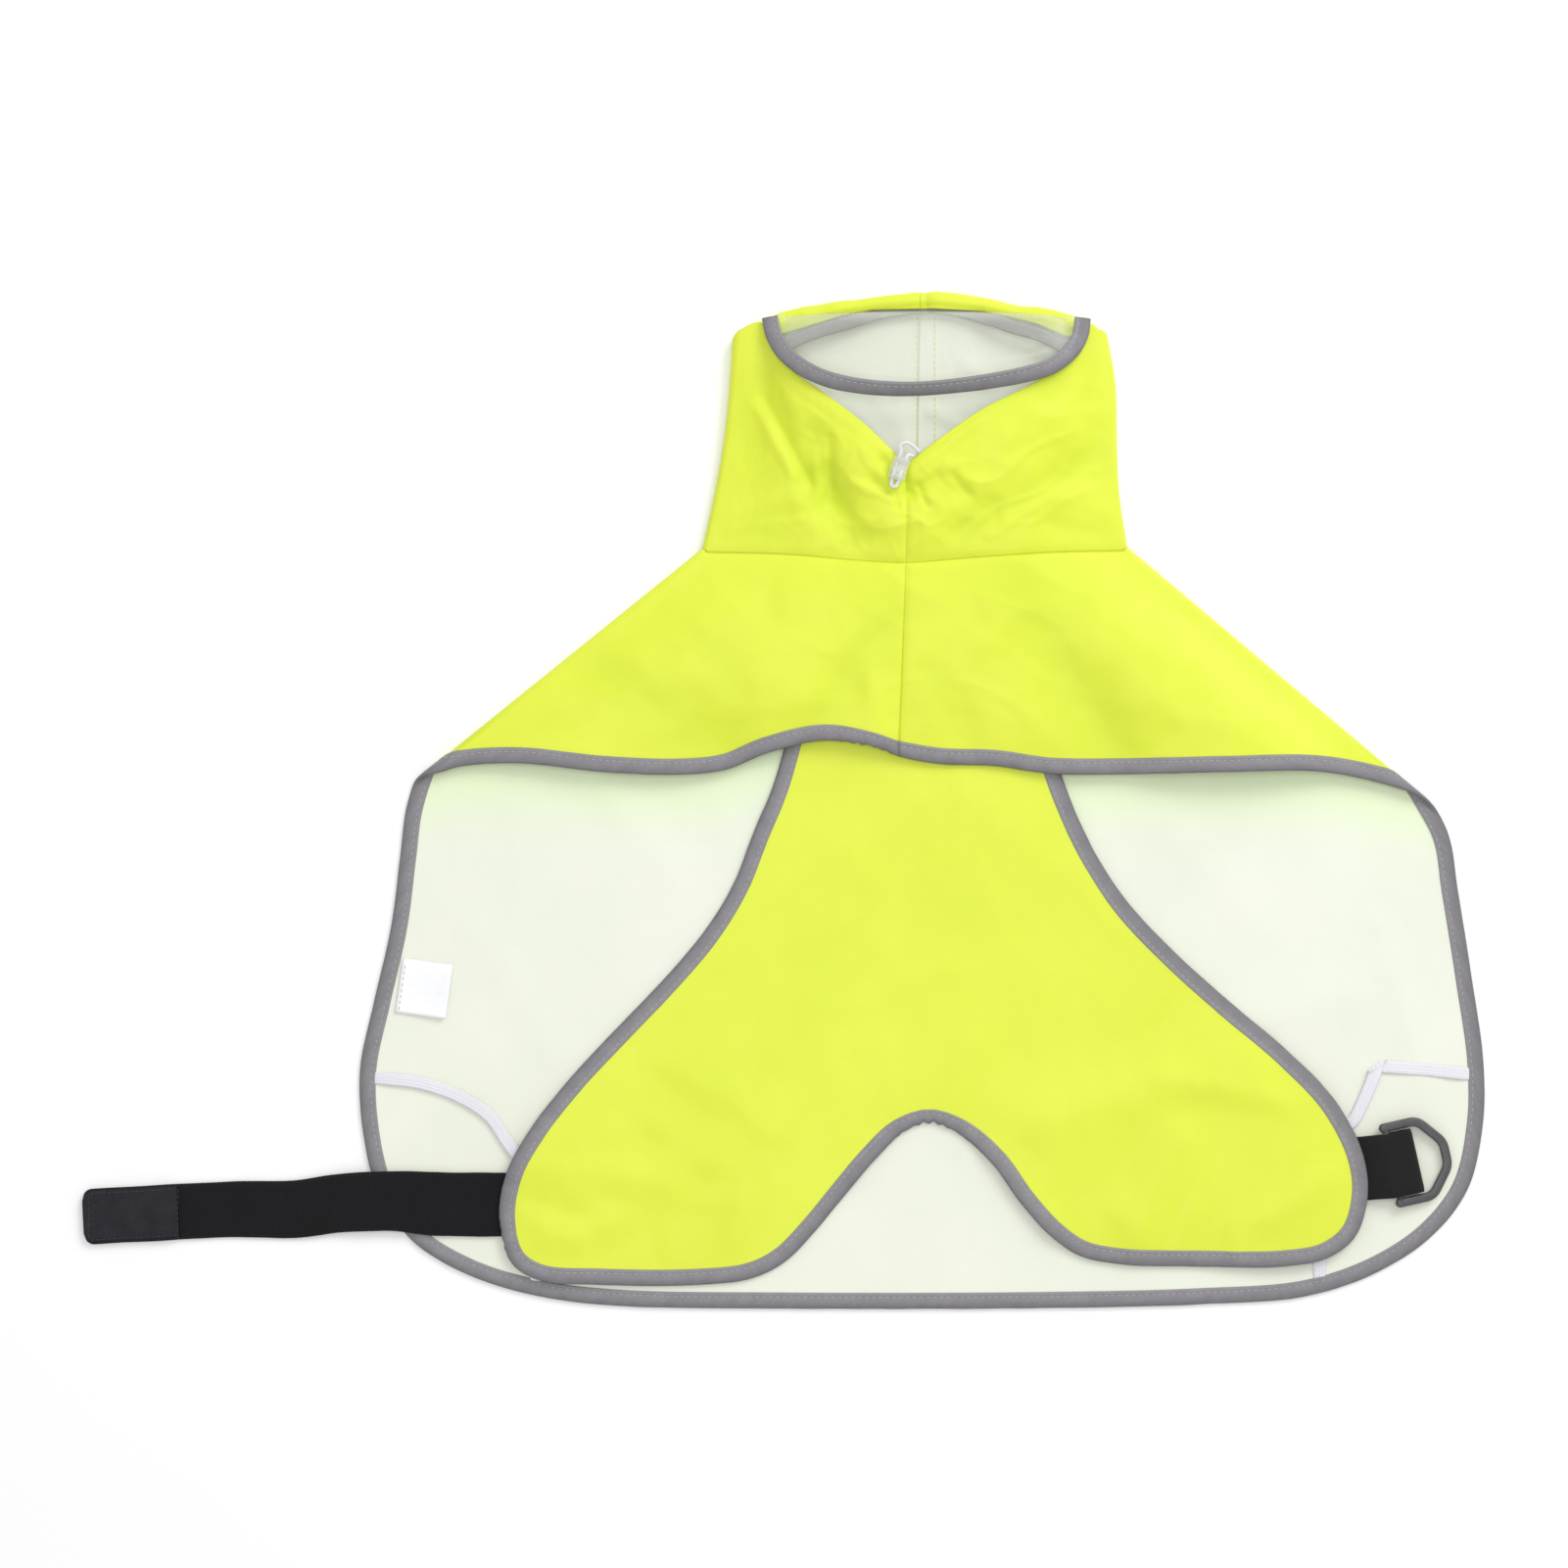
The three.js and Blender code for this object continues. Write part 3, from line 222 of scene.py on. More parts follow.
def bindingTape():
    finish = Finish("grey_binding", {"Metallic": 0.08, "Specular IOR Level": 0.5, "Sheen Weight": 0.06})
    cut = finish.cut()
    along, across, _ = finish.split(cut)
    glitter = finish.cloud(cut, 2.6, 2)
    worn = finish.cloud(cut, 0.16, 3)
    rib = (along * (2 * pi / 0.85)).sine()
    edge = (across - 7.5).size() * 0.075  # darker along the fold at the tape's outer edge, paler towards its inner edges
    tone = glitter * 0.55 + worn * 0.5 + edge - 0.3
    finish.set("Base Color", finish.mixed(tone, colour(100, 98, 102), colour(149, 147, 151)))
    finish.set("Roughness", 0.4 + glitter * 0.25)
    finish.relief(rib * 0.02 + glitter * 0.03 + worn * 0.12)
    return finish


def ribbedElastic(name, dark, pale, ribPitch, linePitch, depth, sheen):
    finish = Finish(name, {"Sheen Weight": sheen, "Specular IOR Level": 0.25})
    cut = finish.cut()
    along, across, _ = finish.split(cut)
    fuzz = finish.cloud(cut, 2.2, 3, 0.6)
    broad = finish.cloud(cut, 0.05, 2)
    rib = (along * (2 * pi / ribPitch)).sine()
    line = (across * (2 * pi / linePitch)).sine()
    tone = rib * 0.18 + line * 0.14 + fuzz * 0.45 + broad * 0.35
    finish.set("Base Color", finish.mixed(tone, dark, pale))
    finish.set("Roughness", 0.72 + fuzz * 0.2)
    finish.relief(rib * depth + line * depth * 0.6 + fuzz * 0.08)
    return finish


def webbingWeave():
    finish = Finish("black_webbing", {"Sheen Weight": 0.07, "Specular IOR Level": 0.25})
    cut = finish.cut()
    along, across, _ = finish.split(cut)
    fuzz = finish.cloud(cut, 1.8, 3)
    twill = ((along + across) * (2 * pi / 1.7)).sine() * ((along - across) * (2 * pi / 1.7)).sine()
    finish.set("Base Color", finish.mixed(twill * 0.3 + fuzz * 0.6, colour(9, 9, 10), colour(40, 39, 41)))
    finish.set("Roughness", 0.62 + fuzz * 0.2)
    finish.relief(twill * 0.12 + fuzz * 0.06)
    return finish


def hookTapeField():
    finish = Finish("hook_tape", {"Specular IOR Level": 0.35})
    cut = finish.cut()
    hooks = finish.node("ShaderNodeTexVoronoi", {}, {"Vector": cut, "Scale": 0.95, "Randomness": 0.45})
    worn = finish.cloud(cut, 0.11, 3)
    finish.set("Base Color", finish.mixed(hooks * 0.7 + worn * 0.5 - 0.1, colour(36, 37, 46), colour(9, 9, 14)))
    finish.set("Roughness", 0.55 + worn * 0.3)
    finish.relief((1 - hooks) * 0.35)
    return finish


def clearFilm(name, tint, opacity, roughness, streaks):
    finish = Finish(name, {"IOR": 1.5, "Coat Roughness": 0.08, "Specular IOR Level": 0.6})
    place = finish.place()
    ripple = finish.cloud(finish.stretched(place, (1, 0.4, 1), 12), streaks, 3)
    facing = finish.node("ShaderNodeLayerWeight", {}, {"Blend": 0.35}, "Facing")
    finish.set("Base Color", finish.mixed(ripple, tint, colour(250, 252, 246)))
    finish.set("Alpha", facing * 0.3 + ripple * 0.06 + opacity)
    finish.set("Roughness", ripple * 0.1 + roughness)
    finish.relief(ripple * 0.5)
    finish.shader.inputs["Coat Weight"].default_value = 0.6
    return finish


def mouldedPlastic():
    finish = Finish("grey_plastic", {"Specular IOR Level": 0.5})
    place = finish.place()
    grain = finish.cloud(place, 2.4, 3)
    rubbed = finish.cloud(place, 0.18, 3)
    finish.set("Base Color", finish.mixed(rubbed * 0.7 + grain * 0.3, colour(58, 55, 58), colour(94, 90, 93)))
    finish.set("Roughness", 0.3 + grain * 0.2)
    finish.relief(grain * 0.06)
    return finish


def threadFinish(name, dark, pale):
    finish = Finish(name, {"Roughness": 0.6, "Sheen Weight": 0.2})
    place = finish.place()
    ply = finish.cloud(place, 1.4, 2)
    finish.set("Base Color", finish.mixed(ply, dark, pale))
    finish.relief(ply * 0.1)
    return finish


def labelFinish():
    finish = Finish("care_label", {"Specular IOR Level": 0.45})
    cut = finish.cut()
    across, along, _ = finish.split(cut)
    weave = (across * (2 * pi / 0.4)).sine() * (along * (2 * pi / 0.4)).sine()
    cloudy = finish.cloud(cut, 0.2, 3)
    finish.set("Base Color", finish.mixed(cloudy, colour(254, 254, 255), colour(245, 246, 248)))
    finish.set("Roughness", 0.42 + cloudy * 0.12)
    finish.relief(weave * 0.02 + cloudy * 0.2)
    return finish


def braidedCord():
    finish = Finish("white_cord", {"Sheen Weight": 0.2})
    cut = finish.cut()
    along, around, _ = finish.split(cut)
    braid = (along * (2 * pi / 1.1) + around * 2.2).sine() * (along * (2 * pi / 1.1) - around * 2.2).sine()
    finish.set("Base Color", finish.mixed(braid * 0.3 + 0.5, colour(246, 245, 248), colour(216, 214, 220)))
    finish.set("Roughness", 0.66 + braid * 0.06)
    finish.relief(braid * 0.1)
    return finish


def floorFinish():
    finish = Finish("floor", {"Roughness": 0.9, "Specular IOR Level": 0.1})
    place = finish.place()
    cloudy = finish.cloud(place, 0.004, 2)
    finish.set("Base Color", finish.mixed(cloudy, studio["floor"], (0.97, 0.97, 0.97, 1)))
    return finish


shellLook = {"Roughness": 0.52, "Specular IOR Level": 0.35, "Sheen Weight": 0.12, "Coat Weight": 0.04}
liningLook = {"Roughness": 0.6, "Specular IOR Level": 0.3, "Coat Weight": 0.0}
# The third tone of each is painted shade: the shell's is darker, for creases and under the hood's roll; the lining's is
# a yellowish painted shade beside the front's hem
shellTones = colour(227, 239, 69), colour(218, 231, 57), colour(202, 222, 40)
liningTones = colour(237, 240, 226), colour(230, 234, 218), colour(226, 246, 190)
shell = coatedCloth("shell_outside", *shellTones, 0.02, 0.5, shellLook)
lining = coatedCloth("shell_lining", *liningTones, 0.015, 0.3, liningLook)
tape = bindingTape()
black = ribbedElastic("black_elastic", colour(4, 4, 6), colour(25, 26, 30), 1.35, 1.1, 0.14, 0.08)
white = ribbedElastic("white_elastic", colour(222, 219, 229), colour(251, 250, 253), 0.8, 1.5, 0.06, 0.2)
webbing = webbingWeave()
hooks = hookTapeField()
film = clearFilm("clear_pvc", colour(226, 232, 212), 0.03, 0.1, 0.05)
clearPlastic = clearFilm("clear_plastic", colour(240, 243, 236), 0.26, 0.06, 0.4)
plastic = mouldedPlastic()
greyThread = threadFinish("grey_thread", colour(150, 149, 151), colour(200, 199, 201))
yellowThread = threadFinish("yellow_thread", colour(196, 214, 96), colour(222, 236, 132))
blackThread = threadFinish("black_thread", colour(22, 22, 25), colour(60, 60, 64))
label = labelFinish()
cordLook = braidedCord()


# ---- lines and surfaces
def lerp(a, b, t):
    return a + (b - a) * t


def clamp01(t):
    return min(1, max(0, t))


def ease(start, end, value):
    t = clamp01((value - start) / (end - start))
    return t * t * (3 - 2 * t)


def bump(away, width):
    return exp(-((away / width) ** 2))


def soft(x, y, size, seed):
    return noise.noise(Vector((x / size, y / size, seed)))


# Sharp small creases of crumpled cloth, 1 on their lines
def crumple(x, y, size, seed):
    return (1 - min(1, abs(soft(x, y, size, seed)) * 2.4)) ** 3


def vec(p):
    return Vector((p[0], p[1], p[2] if len(p) > 2 else 0))


# A smooth line through the rows of a table
def smoothLine(rows, perSpan=30):
    given = [vec(r) for r in rows]
    ends = [2 * given[0] - given[1], *given, 2 * given[-1] - given[-2]]
    line = []
    for a, b, c, d in zip(ends, ends[1:], ends[2:], ends[3:]):
        t1 = sqrt((b - a).length)
        t2 = t1 + sqrt((c - b).length)
        t3 = t2 + sqrt((d - c).length)
        for k in range(perSpan):
            t = lerp(t1, t2, k / perSpan)
            ab = a.lerp(b, t / t1)
            bc = b.lerp(c, (t - t1) / (t2 - t1))
            cd = c.lerp(d, (t - t2) / (t3 - t2))
            line.append(ab.lerp(bc, t / t2).lerp(bc.lerp(cd, (t - t1) / (t3 - t1)), (t - t1) / (t2 - t1)))
    return line + [given[-1]]


# A dense line, read at places that count its points
class Track:
    def __init__(self, points):
        self.points = points
        self.lengths = [0]
        for a, b in zip(points, points[1:]):
            self.lengths.append(self.lengths[-1] + (b - a).length)

    def length(self, place):
        k = min(int(place), len(self.points) - 2)
        return lerp(self.lengths[k], self.lengths[k + 1], place - k)

    def place(self, length):
        k = min(max(bisect_left(self.lengths, length), 1), len(self.points) - 1)
        span = self.lengths[k] - self.lengths[k - 1]
        return k - 1 + (length - self.lengths[k - 1]) / max(span, 1e-9)

    def point(self, place):
        k = min(int(place), len(self.points) - 2)
        return self.points[k].lerp(self.points[k + 1], place - k)

    def spots(self, count, start=0, end=None, crowd=lambda t: t):
        low = self.length(start)
        high = self.length(len(self.points) - 1 if end is None else end)
        return [self.place(lerp(low, high, crowd(k / count))) for k in range(count + 1)]


def evenPoints(rows, count, crowd=lambda t: t):
    track = Track(smoothLine(rows))
    return [track.point(s) for s in track.spots(count, crowd=crowd)]


def tableAt(rows, x, column):
    if x <= rows[0][0]:
        return rows[0][column]
    for a, b in zip(rows, rows[1:]):
        if x <= b[0]:
            return lerp(a[column], b[column], (x - a[0]) / (b[0] - a[0]))
    return rows[-1][column]


# Points of a flat outline moved to its left
def inset(points, distance):
    moved = []
    for k, p in enumerate(points):
        way = points[min(k + 1, len(points) - 1)] - points[max(k - 1, 0)]
        moved.append(p + Vector((-way.y, way.x, 0)).normalized() * distance)
    return moved


# Soft troughs of laid cloth: x1, y1, x2, y2, width, depth; a ridge has a negative depth
def creaseDepth(rows, x, y, gain=1):
    total = 0
    for x1, y1, x2, y2, width, depth in rows:
        dx, dy = x2 - x1, y2 - y1
        t = clamp01(((x - x1) * dx + (y - y1) * dy) / (dx * dx + dy * dy))
        away = hypot(x - x1 - t * dx, y - y1 - t * dy)
        if away < 2.6 * width:
            total += depth * bump(away, width)
    return total * gain


# A sheet from rows of points, with each point's place in the flat cut and how much painted shade it takes (darker in
# folds, tinted beside the front's hem);
# a closed one is a tube along its rows
def sheetMesh(grid, cut, turned=False, closed=False, sunk=None):
    rows, columns = len(grid), len(grid[0])
    made = bmesh.new()
    layer = made.loops.layers.uv.new("cut")
    depth = made.verts.layers.float.new("sunk") if sunk else None
    bmesh.ops.create_grid(made, x_segments=columns - 1, y_segments=rows - 1, size=0.5)
    made.verts.index_update()
    spots = []
    for v in made.verts:
        i = round((v.co.x + 0.5) * (columns - 1))
        j = round((v.co.y + 0.5) * (rows - 1))
        spots.append((i, j))
        v.co = grid[j][i] * mm
        if sunk:
            v[depth] = clamp01(sunk[j][i])
    for face in made.faces:
        for corner in face.loops:
            i, j = spots[corner.vert.index]
            corner[layer].uv = (cut[j][i][0] * mm, cut[j][i][1] * mm)
    if turned:
        bmesh.ops.reverse_faces(made, faces=made.faces[:])
    if closed:
        bmesh.ops.remove_doubles(made, verts=made.verts[:], dist=0.00001)
        bmesh.ops.holes_fill(made, edges=[e for e in made.edges if e.is_boundary], sides=0)
        bmesh.ops.recalc_face_normals(made, faces=made.faces[:])
    return made


def addPiece(name, made, finishes, nodes=(), body="coat", smooth=True):
    mesh = bpy.data.meshes.new(name)
    for face in made.faces:
        face.smooth = smooth
    made.to_mesh(mesh)
    made.free()
    for finish in finishes:
        mesh.materials.append(finish.material)
    thing = bpy.data.objects.new(name, mesh)
    bpy.context.scene.collection.objects.link(thing)
    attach(thing, body)
    if nodes:
        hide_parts(*nodes)
    return thing


def thicken(thing, thickness, sides=1):
    wall = thing.modifiers.new("wall", "SOLIDIFY")
    wall.thickness = thickness * mm
    wall.offset = 0
    wall.material_offset = sides
    wall.material_offset_rim = 0
    return thing


def pour(batch, made):
    carrier = bpy.data.meshes.new("batch")
    batch.to_mesh(carrier)
    made.from_mesh(carrier)
    bpy.data.meshes.remove(carrier)
    batch.clear()


# Stitches along a line of points, each lying across its normal
def stitchRow(made, points, normals, pitch=3.2, length=2.2, width=0.42, height=0.42, start=1.2):
    track = Track(points)
    reach = start
    batch = bmesh.new()  # a few at a time, as a small mesh grows faster
    while reach < track.lengths[-1] - 1:
        place = track.place(reach)
        along = (track.point(track.place(reach + 1)) - track.point(track.place(reach - 1))).normalized()
        up = normals[min(round(place), len(normals) - 1)].normalized()
        side = along.cross(up).normalized()
        up = side.cross(along)
        sizes = Matrix.Diagonal((width / 2, height / 2, length / 2, 1))
        axes = Matrix((side, up, along)).transposed().to_4x4()
        spot = Matrix.Translation(track.point(place) * mm) @ axes @ Matrix.Scale(mm, 4) @ sizes
        bmesh.ops.create_uvsphere(batch, u_segments=6, v_segments=4, radius=1, matrix=spot)
        reach += pitch * (1 + 0.06 * noise.noise(Vector((reach, 0.3, 7.7))))
        if len(batch.verts) > 900:
            pour(batch, made)
    pour(batch, made)
    batch.free()


# Section of a bound edge, from the inner end over the top, round the fold and back: width and height
tapeTop = [(7.6, 0.4), (7.35, 0.68), (6.7, 0.8), (6.1, 0.76), (5.5, 0.6), (4.9, 0.76), (2.8, 0.84), (1, 0.78), (0.25, 0.5)]
tapeSection = [*tapeTop, (0, 0), *[(w, -h) for w, h in reversed(tapeTop)]]
stitchWidth = 5.5


# A folded tape round an edge: the outer and the inner line of its middle, its half height, and gathers along it
def tapeMesh(outer, inner, flatten=1.0, gather=None):
    rows, cuts, top, under, ups = [], [], [], [], []
    run = 0
    for j, o in enumerate(outer):
        way = outer[min(j + 1, len(outer) - 1)] - outer[max(j - 1, 0)]
        run += (o - outer[j - 1]).length if j else 0
        across = inner[j] - o
        up = way.cross(across).normalized()
        outward = across.normalized() * -(0.16 * noise.noise(Vector((run / 11, 2.5, 0))))
        swell = flatten * (1 + 0.1 * noise.noise(Vector((run / 7, 0, 1.5))))
        lift = 0
        if gather:
            pulled = gather(o)
            wave = pulled * sin(run * 2 * pi / 4.8 + 2.2 * noise.noise(Vector((run / 6, 4, 0))))
            swell *= 1.12 + 0.2 * pulled + 0.42 * wave
            outward += across.normalized() * (1.3 * pulled + 0.8 * wave)
            lift = 0.2 * wave
        spot = lambda w, h: o + outward * (1 - w / 7.6) + across * (w / 7.5) + up * (h * swell + lift)
        around = [spot(w, h) for w, h in tapeSection]
        rows.append([*around, around[0]])
        cuts.append([(run, 7.5 + (w if k > 9 else -w)) for k, (w, h) in enumerate(tapeSection)] + [(run, 0)])
        top.append(spot(stitchWidth, 0.72))
        under.append(spot(stitchWidth, -0.72))
        ups.append(up)
    return sheetMesh(rows, cuts, closed=True), top, under, ups


def boundEdge(name, outer, inner, nodes, flatten=1.0, gather=None, sides=(1, -1)):
    made, top, under, ups = tapeMesh(outer, inner, flatten, gather)
    band = addPiece(name, made, [tape], nodes)
    stitches = bmesh.new()
    if 1 in sides:
        stitchRow(stitches, top, ups, height=0.42 * flatten)
    if -1 in sides:
        stitchRow(stitches, under, ups, start=2.8, height=0.42 * flatten)
    return band, addPiece(name + "_stitches", stitches, [greyThread])


# A flat band along centres: width at each, and a rounded section
def bandMesh(centres, widths, thickness, sides=None, steps=10, ups=None):
    rows, cuts = [], []
    run = 0
    half = thickness / 2
    outline = [(lerp(-1, 1, k / steps), 1) for k in range(steps + 1)]
    outline = outline + [(w, -1) for w, _ in reversed(outline)]
    for j, c in enumerate(centres):
        way = centres[min(j + 1, len(centres) - 1)] - centres[max(j - 1, 0)]
        run += (c - centres[j - 1]).length if j else 0
        side = sides[j] if sides else Vector((way.y, -way.x, 0)).normalized()
        up = ups[j] if ups else side.cross(way).normalized()
        around = []
        for w, h in outline:
            thinned = 1 if abs(w) < 0.99 else 0.55
            around.append(c + side * (w * widths[j] / 2) + up * (h * half * thinned))
        rows.append([*around, around[0]])
        cuts.append([(run, w * widths[j] / 2) for w, _ in outline] + [(run, -widths[j] / 2)])
    return sheetMesh(rows, cuts, closed=True)


# A flat band that turns over itself in a sharp fold between two middle lines
def foldedBand(before, after, width, thickness, bend=0.5):
    enter = (before[-1] - before[-3]).normalized()
    leave = (after[2] - after[0]).normalized()
    crease = (enter + leave).normalized()
    outward = (enter - leave).normalized()
    side = Vector((enter.y, -enter.x, 0))
    along = crease / crease.dot(side)
    high = Vector((0, 0, 1))
    centres, sides, ups = [], [], []
    for p, q in zip(before, [*before[1:], after[0]]):
        own = Vector((q.y - p.y, p.x - q.x, 0)).normalized() if q != p else side
        centres.append(p)
        sides.append(own.lerp(along, ease(width * 0.85, 0, (before[-1] - p).length)))
        ups.append(high)
    for k in range(1, 6):
        turn = pi * k / 6
        centres.append(before[-1] + outward * (bend * sin(turn)) + high * (bend * (1 - cos(turn))))
        sides.append(along)
        ups.append(high * cos(turn) - outward * sin(turn))
    for p, q in zip(after, [*after[1:], after[-1]]):
        own = Vector((p.y - q.y, q.x - p.x, 0)).normalized() if q != p else sides[-1]
        centres.append(p)
        sides.append(own.lerp(along, ease(width * 0.85, 0, (after[0] - p).length)))
        ups.append(-high)
    return bandMesh(centres, [width] * len(centres), thickness, sides, 6, ups)


# A round tube along points, with its length and its way round as the cut
def tubeMesh(points, radii, steps=12):
    rows, cuts = [], []
    run = 0
    side = None
    for j, c in enumerate(points):
        way = (points[min(j + 1, len(points) - 1)] - points[max(j - 1, 0)]).normalized()
        run += (c - points[j - 1]).length if j else 0
        side = (Vector((0, 0, 1)).cross(way) if side is None else side - way * side.dot(way)).normalized()
        up = way.cross(side)
        turns = [2 * pi * k / steps for k in range(steps + 1)]
        rows.append([c + (side * cos(a) + up * sin(a)) * radii[j] for a in turns])
        cuts.append([(run, a) for a in turns])
    return sheetMesh(rows, cuts, closed=True)


setStudio()
made = bmesh.new()
bmesh.ops.create_grid(made, x_segments=1, y_segments=1, size=4)
bmesh.ops.translate(made, verts=made.verts[:], vec=(0, 0, -0.0003))
floorMesh = bpy.data.meshes.new("floor")
made.to_mesh(floorMesh)
made.free()
floorMesh.materials.append(floorFinish().material)
floor = bpy.data.objects.new("floor", floorMesh)
bpy.context.scene.collection.objects.link(floor)
print("camera, floor and light set")

# ---- drawcord: out of the hood's edge, through the lock, round under it and back
drawcord = {"diameter": 1.8, "lock": (-11, 154.6, 21.6), "turn": -18}
cordRoute = [
    (6.4, 10.6, -2.2),
    (3.4, 12, -0.6),
    (-0.4, 12.6, 0.2),
    (-2.6, 10.6, 0.2),
    (-1.6, 7.6, 0),
    (-1.5, 3, 0),
    (-1.5, -6, 0),
    (-0.9, -8.4, 0),
    (0.9, -8.4, 0),
    (1.5, -6, 0),
    (1.5, 5.4, 0),
    (2.2, 7.6, -0.4),
    (4.4, 8, -2),
]
lockFrame = Matrix.Translation(drawcord["lock"]) @ Matrix.Rotation(radians(drawcord["turn"]), 4, "Z")


def makeDrawcord():
    route = [lockFrame @ p for p in evenPoints(cordRoute, 120)]
    made = tubeMesh(route, [drawcord["diameter"] / 2] * len(route), 14)
    cord = addPiece("hood_drawcord", made, [cordLook], ["drawcord"])
    length = sum((b - a).length for a, b in zip(route, route[1:]))
    route[0] * mm
    [p * mm for p in route]


makeDrawcord()
print("drawcord laid")

# ---- cape: one cut, folded at the shoulders and sewn to itself at the chest
cape = {
    "cloth": 0.8,
    "middle": 0.5,  # height of the back's middle surface
    "bendRadius": 2.5,
    "tapeWidth": 7.5,
    "hidden": 2.4,  # how far inside the edge the cloth ends, within its binding
    "lift": 0.4,  # of the cloth into its binding
    "front": 64,
    "bend": 8,
    "back": 168,
    "rows": 88,
}
backEdge = [
    (-242, -3), (-245, -26), (-249, -58), (-257, -94), (-263.4, -125), (-262.5, -152), (-256, -180),
    (-240, -205), (-215, -221), (-182, -231.5), (-145, -236.3), (-60, -237.8), (60, -237.5), (130, -235.8),
    (180, -232), (213, -221), (239, -204), (256, -182), (263.2, -152), (263.6, -122), (258.5, -84),
    (252, -42), (247.5, -15),
]
frontHem = [  # x, y and how far it stands off the back
    (-230, 12.4, 0), (-216, 16.2, 1), (-190, 17.6, 3.5), (-148, 13.4, 3.5), (-112, 12.3, 2.5), (-92, 14.6, 1.5),
    (-72, 22.5, 2), (-46, 28.2, 4), (-24, 24.6, 2.5), (-11, 20.6, 0), (8, 17.4, -0.6), (34, 16.4, -0.6),
    (60, 12.8, 0.2), (92, 12.4, 4), (142, 13.3, 9), (184, 13.8, 7.5), (204, 11, 3.5), (225, 5.5, 0),
]
frontNeck = [(-101, 116.7), (-62, 115.4), (-30, 112.6), (-7.5, 111.6), (24, 114), (60, 116.4), (94.8, 117.4)]
backNeck = [(-101, 116.7), (-50, 114.2), (-3, 113.4), (45, 114.4), (94.8, 117.4)]
chest = {"neck": (-7.5, 111.6), "hem": (-11, 20.6)}
leash = {"x": -3, "top": 113, "width": 77, "length": 65, "corner": 26, "lift": 1.45}
frontCreases = [
    (48, 104, 92, 20, 15, 2.6),
    (-14, 88, -52, 30, 12, 1.8),
    (-150, 62, -92, 22, 14, 1.6),
    (120, 86, 168, 18, 20, -1.8),
    (-62, 112, -70, 88, 5, 0.7),
    (-34, 109, -30, 90, 5, 0.6),
    (22, 110, 30, 86, 5, 0.7),
    (66, 113, 80, 92, 6, 0.8),
    (-118, 92, -90, 62, 9, 0.7),
    (-200, 28, -160, 40, 7, 0.6),
    (150, 60, 196, 26, 8, 0.7),
    (6, 60, 22, 26, 8, 0.8),
    (-26, 66, -20, 30, 6, -0.6),
    (88, 70, 118, 40, 10, -0.7),
]
backCreases = [  # all of them ridges, as the back lies on its outside
    (-170, 40, -120, -30, 10, -0.7),
    (-30, 30, 10, -60, 14, -0.6),
    (90, 20, 160, -60, 12, -0.7),
    (-210, -60, -170, -120, 9, -0.7),
    (120, -110, 200, -90, 11, -0.8),
    (-60, -120, 40, -160, 12, -0.6),
    (-150, -190, -90, -205, 8, -0.5),
    (215, -60, 236, -130, 8, -0.8),
    (-120, 90, -70, 50, 8, -0.6),
    (70, 92, 120, 60, 8, -0.6),
]


class Fold:
    # Cloth beyond its line turns through half a circle and lies back over itself
    def __init__(self, neck, corner, side):
        along = (Vector(corner) - Vector(neck)).normalized()
        self.outward = Vector((along.y, -along.x)) * side
        self.origin = Vector(neck) - self.outward * cape["bendRadius"]

    def beyond(self, p):
        return (p[0] - self.origin.x) * self.outward.x + (p[1] - self.origin.y) * self.outward.y

    def moved(self, p, distance):
        return Vector((p[0] + self.outward.x * distance, p[1] + self.outward.y * distance, 0))

    def unfold(self, p):
        return self.moved(p, -2 * self.beyond(p) + pi * cape["bendRadius"])

    def fold(self, p):
        beyond = self.beyond(p)
        radius = cape["bendRadius"]
        turned = min(beyond, pi * radius) / radius
        laid = self.moved(p, -beyond + radius * sin(turned) - max(0, beyond - pi * radius))
        laid.z = radius * (1 - cos(turned))
        return laid, turned >= pi


leftFold = Fold((-102.6, 118.7), (-239.5, 8), 1)
rightFold = Fold((96.4, 119.4), (231, 5.5), -1)
bendArc = pi * cape["bendRadius"]


def backLift(x, y):
    dx = max(0, abs(x - leash["x"]) - leash["width"] / 2)
    dy = max(0, leash["top"] - leash["length"] - y, y - leash["top"])
    return leash["lift"] * (1 - ease(4, 30, hypot(dx, dy)))


def frontRise(x, y):
    inside = max(0, min(-leftFold.beyond((x, y)), -rightFold.beyond((x, y))))
    lateral = inside * inside / (inside * inside + 400)
    up = clamp01((y - 18) / 96)
    crown = lerp(tableAt(frontHem, x, 2), 6, up) + 3.5 * sin(pi * up)
    return lateral * (crown - creaseDepth(frontCreases, x, y, 1.6) * sin(pi * clamp01(up + 0.25)))


def chestX(y):
    return lerp(chest["hem"][0], chest["neck"][0], (y - chest["hem"][1]) / (chest["neck"][1] - chest["hem"][1]))


def layCape(p, lift=0):
    fold = leftFold if leftFold.beyond(p) > 0 else rightFold if rightFold.beyond(p) > 0 else None
    if fold is None:
        return Vector((p[0], p[1], cape["middle"] + backLift(p[0], p[1]) + lift))
    laid, front = fold.fold(p)
    rise = frontRise(laid.x, laid.y) if front else backLift(laid.x, laid.y)
    return Vector((laid.x, laid.y, cape["middle"] + laid.z + rise + lift))


# The free edge in the flat cut, from the chest seam round both shoulders and back to it
hemLeft = [r for r in frontHem if r[0] <= chest["hem"][0]][::-1]
hemRight = [r for r in frontHem if r[0] >= chest["hem"][0]][::-1]
edgeRows = [leftFold.unfold(r) for r in hemLeft] + [vec(r) for r in backEdge] + [rightFold.unfold(r) for r in hemRight]
edgeCount = 1600
flatEdge = evenPoints(edgeRows, edgeCount)


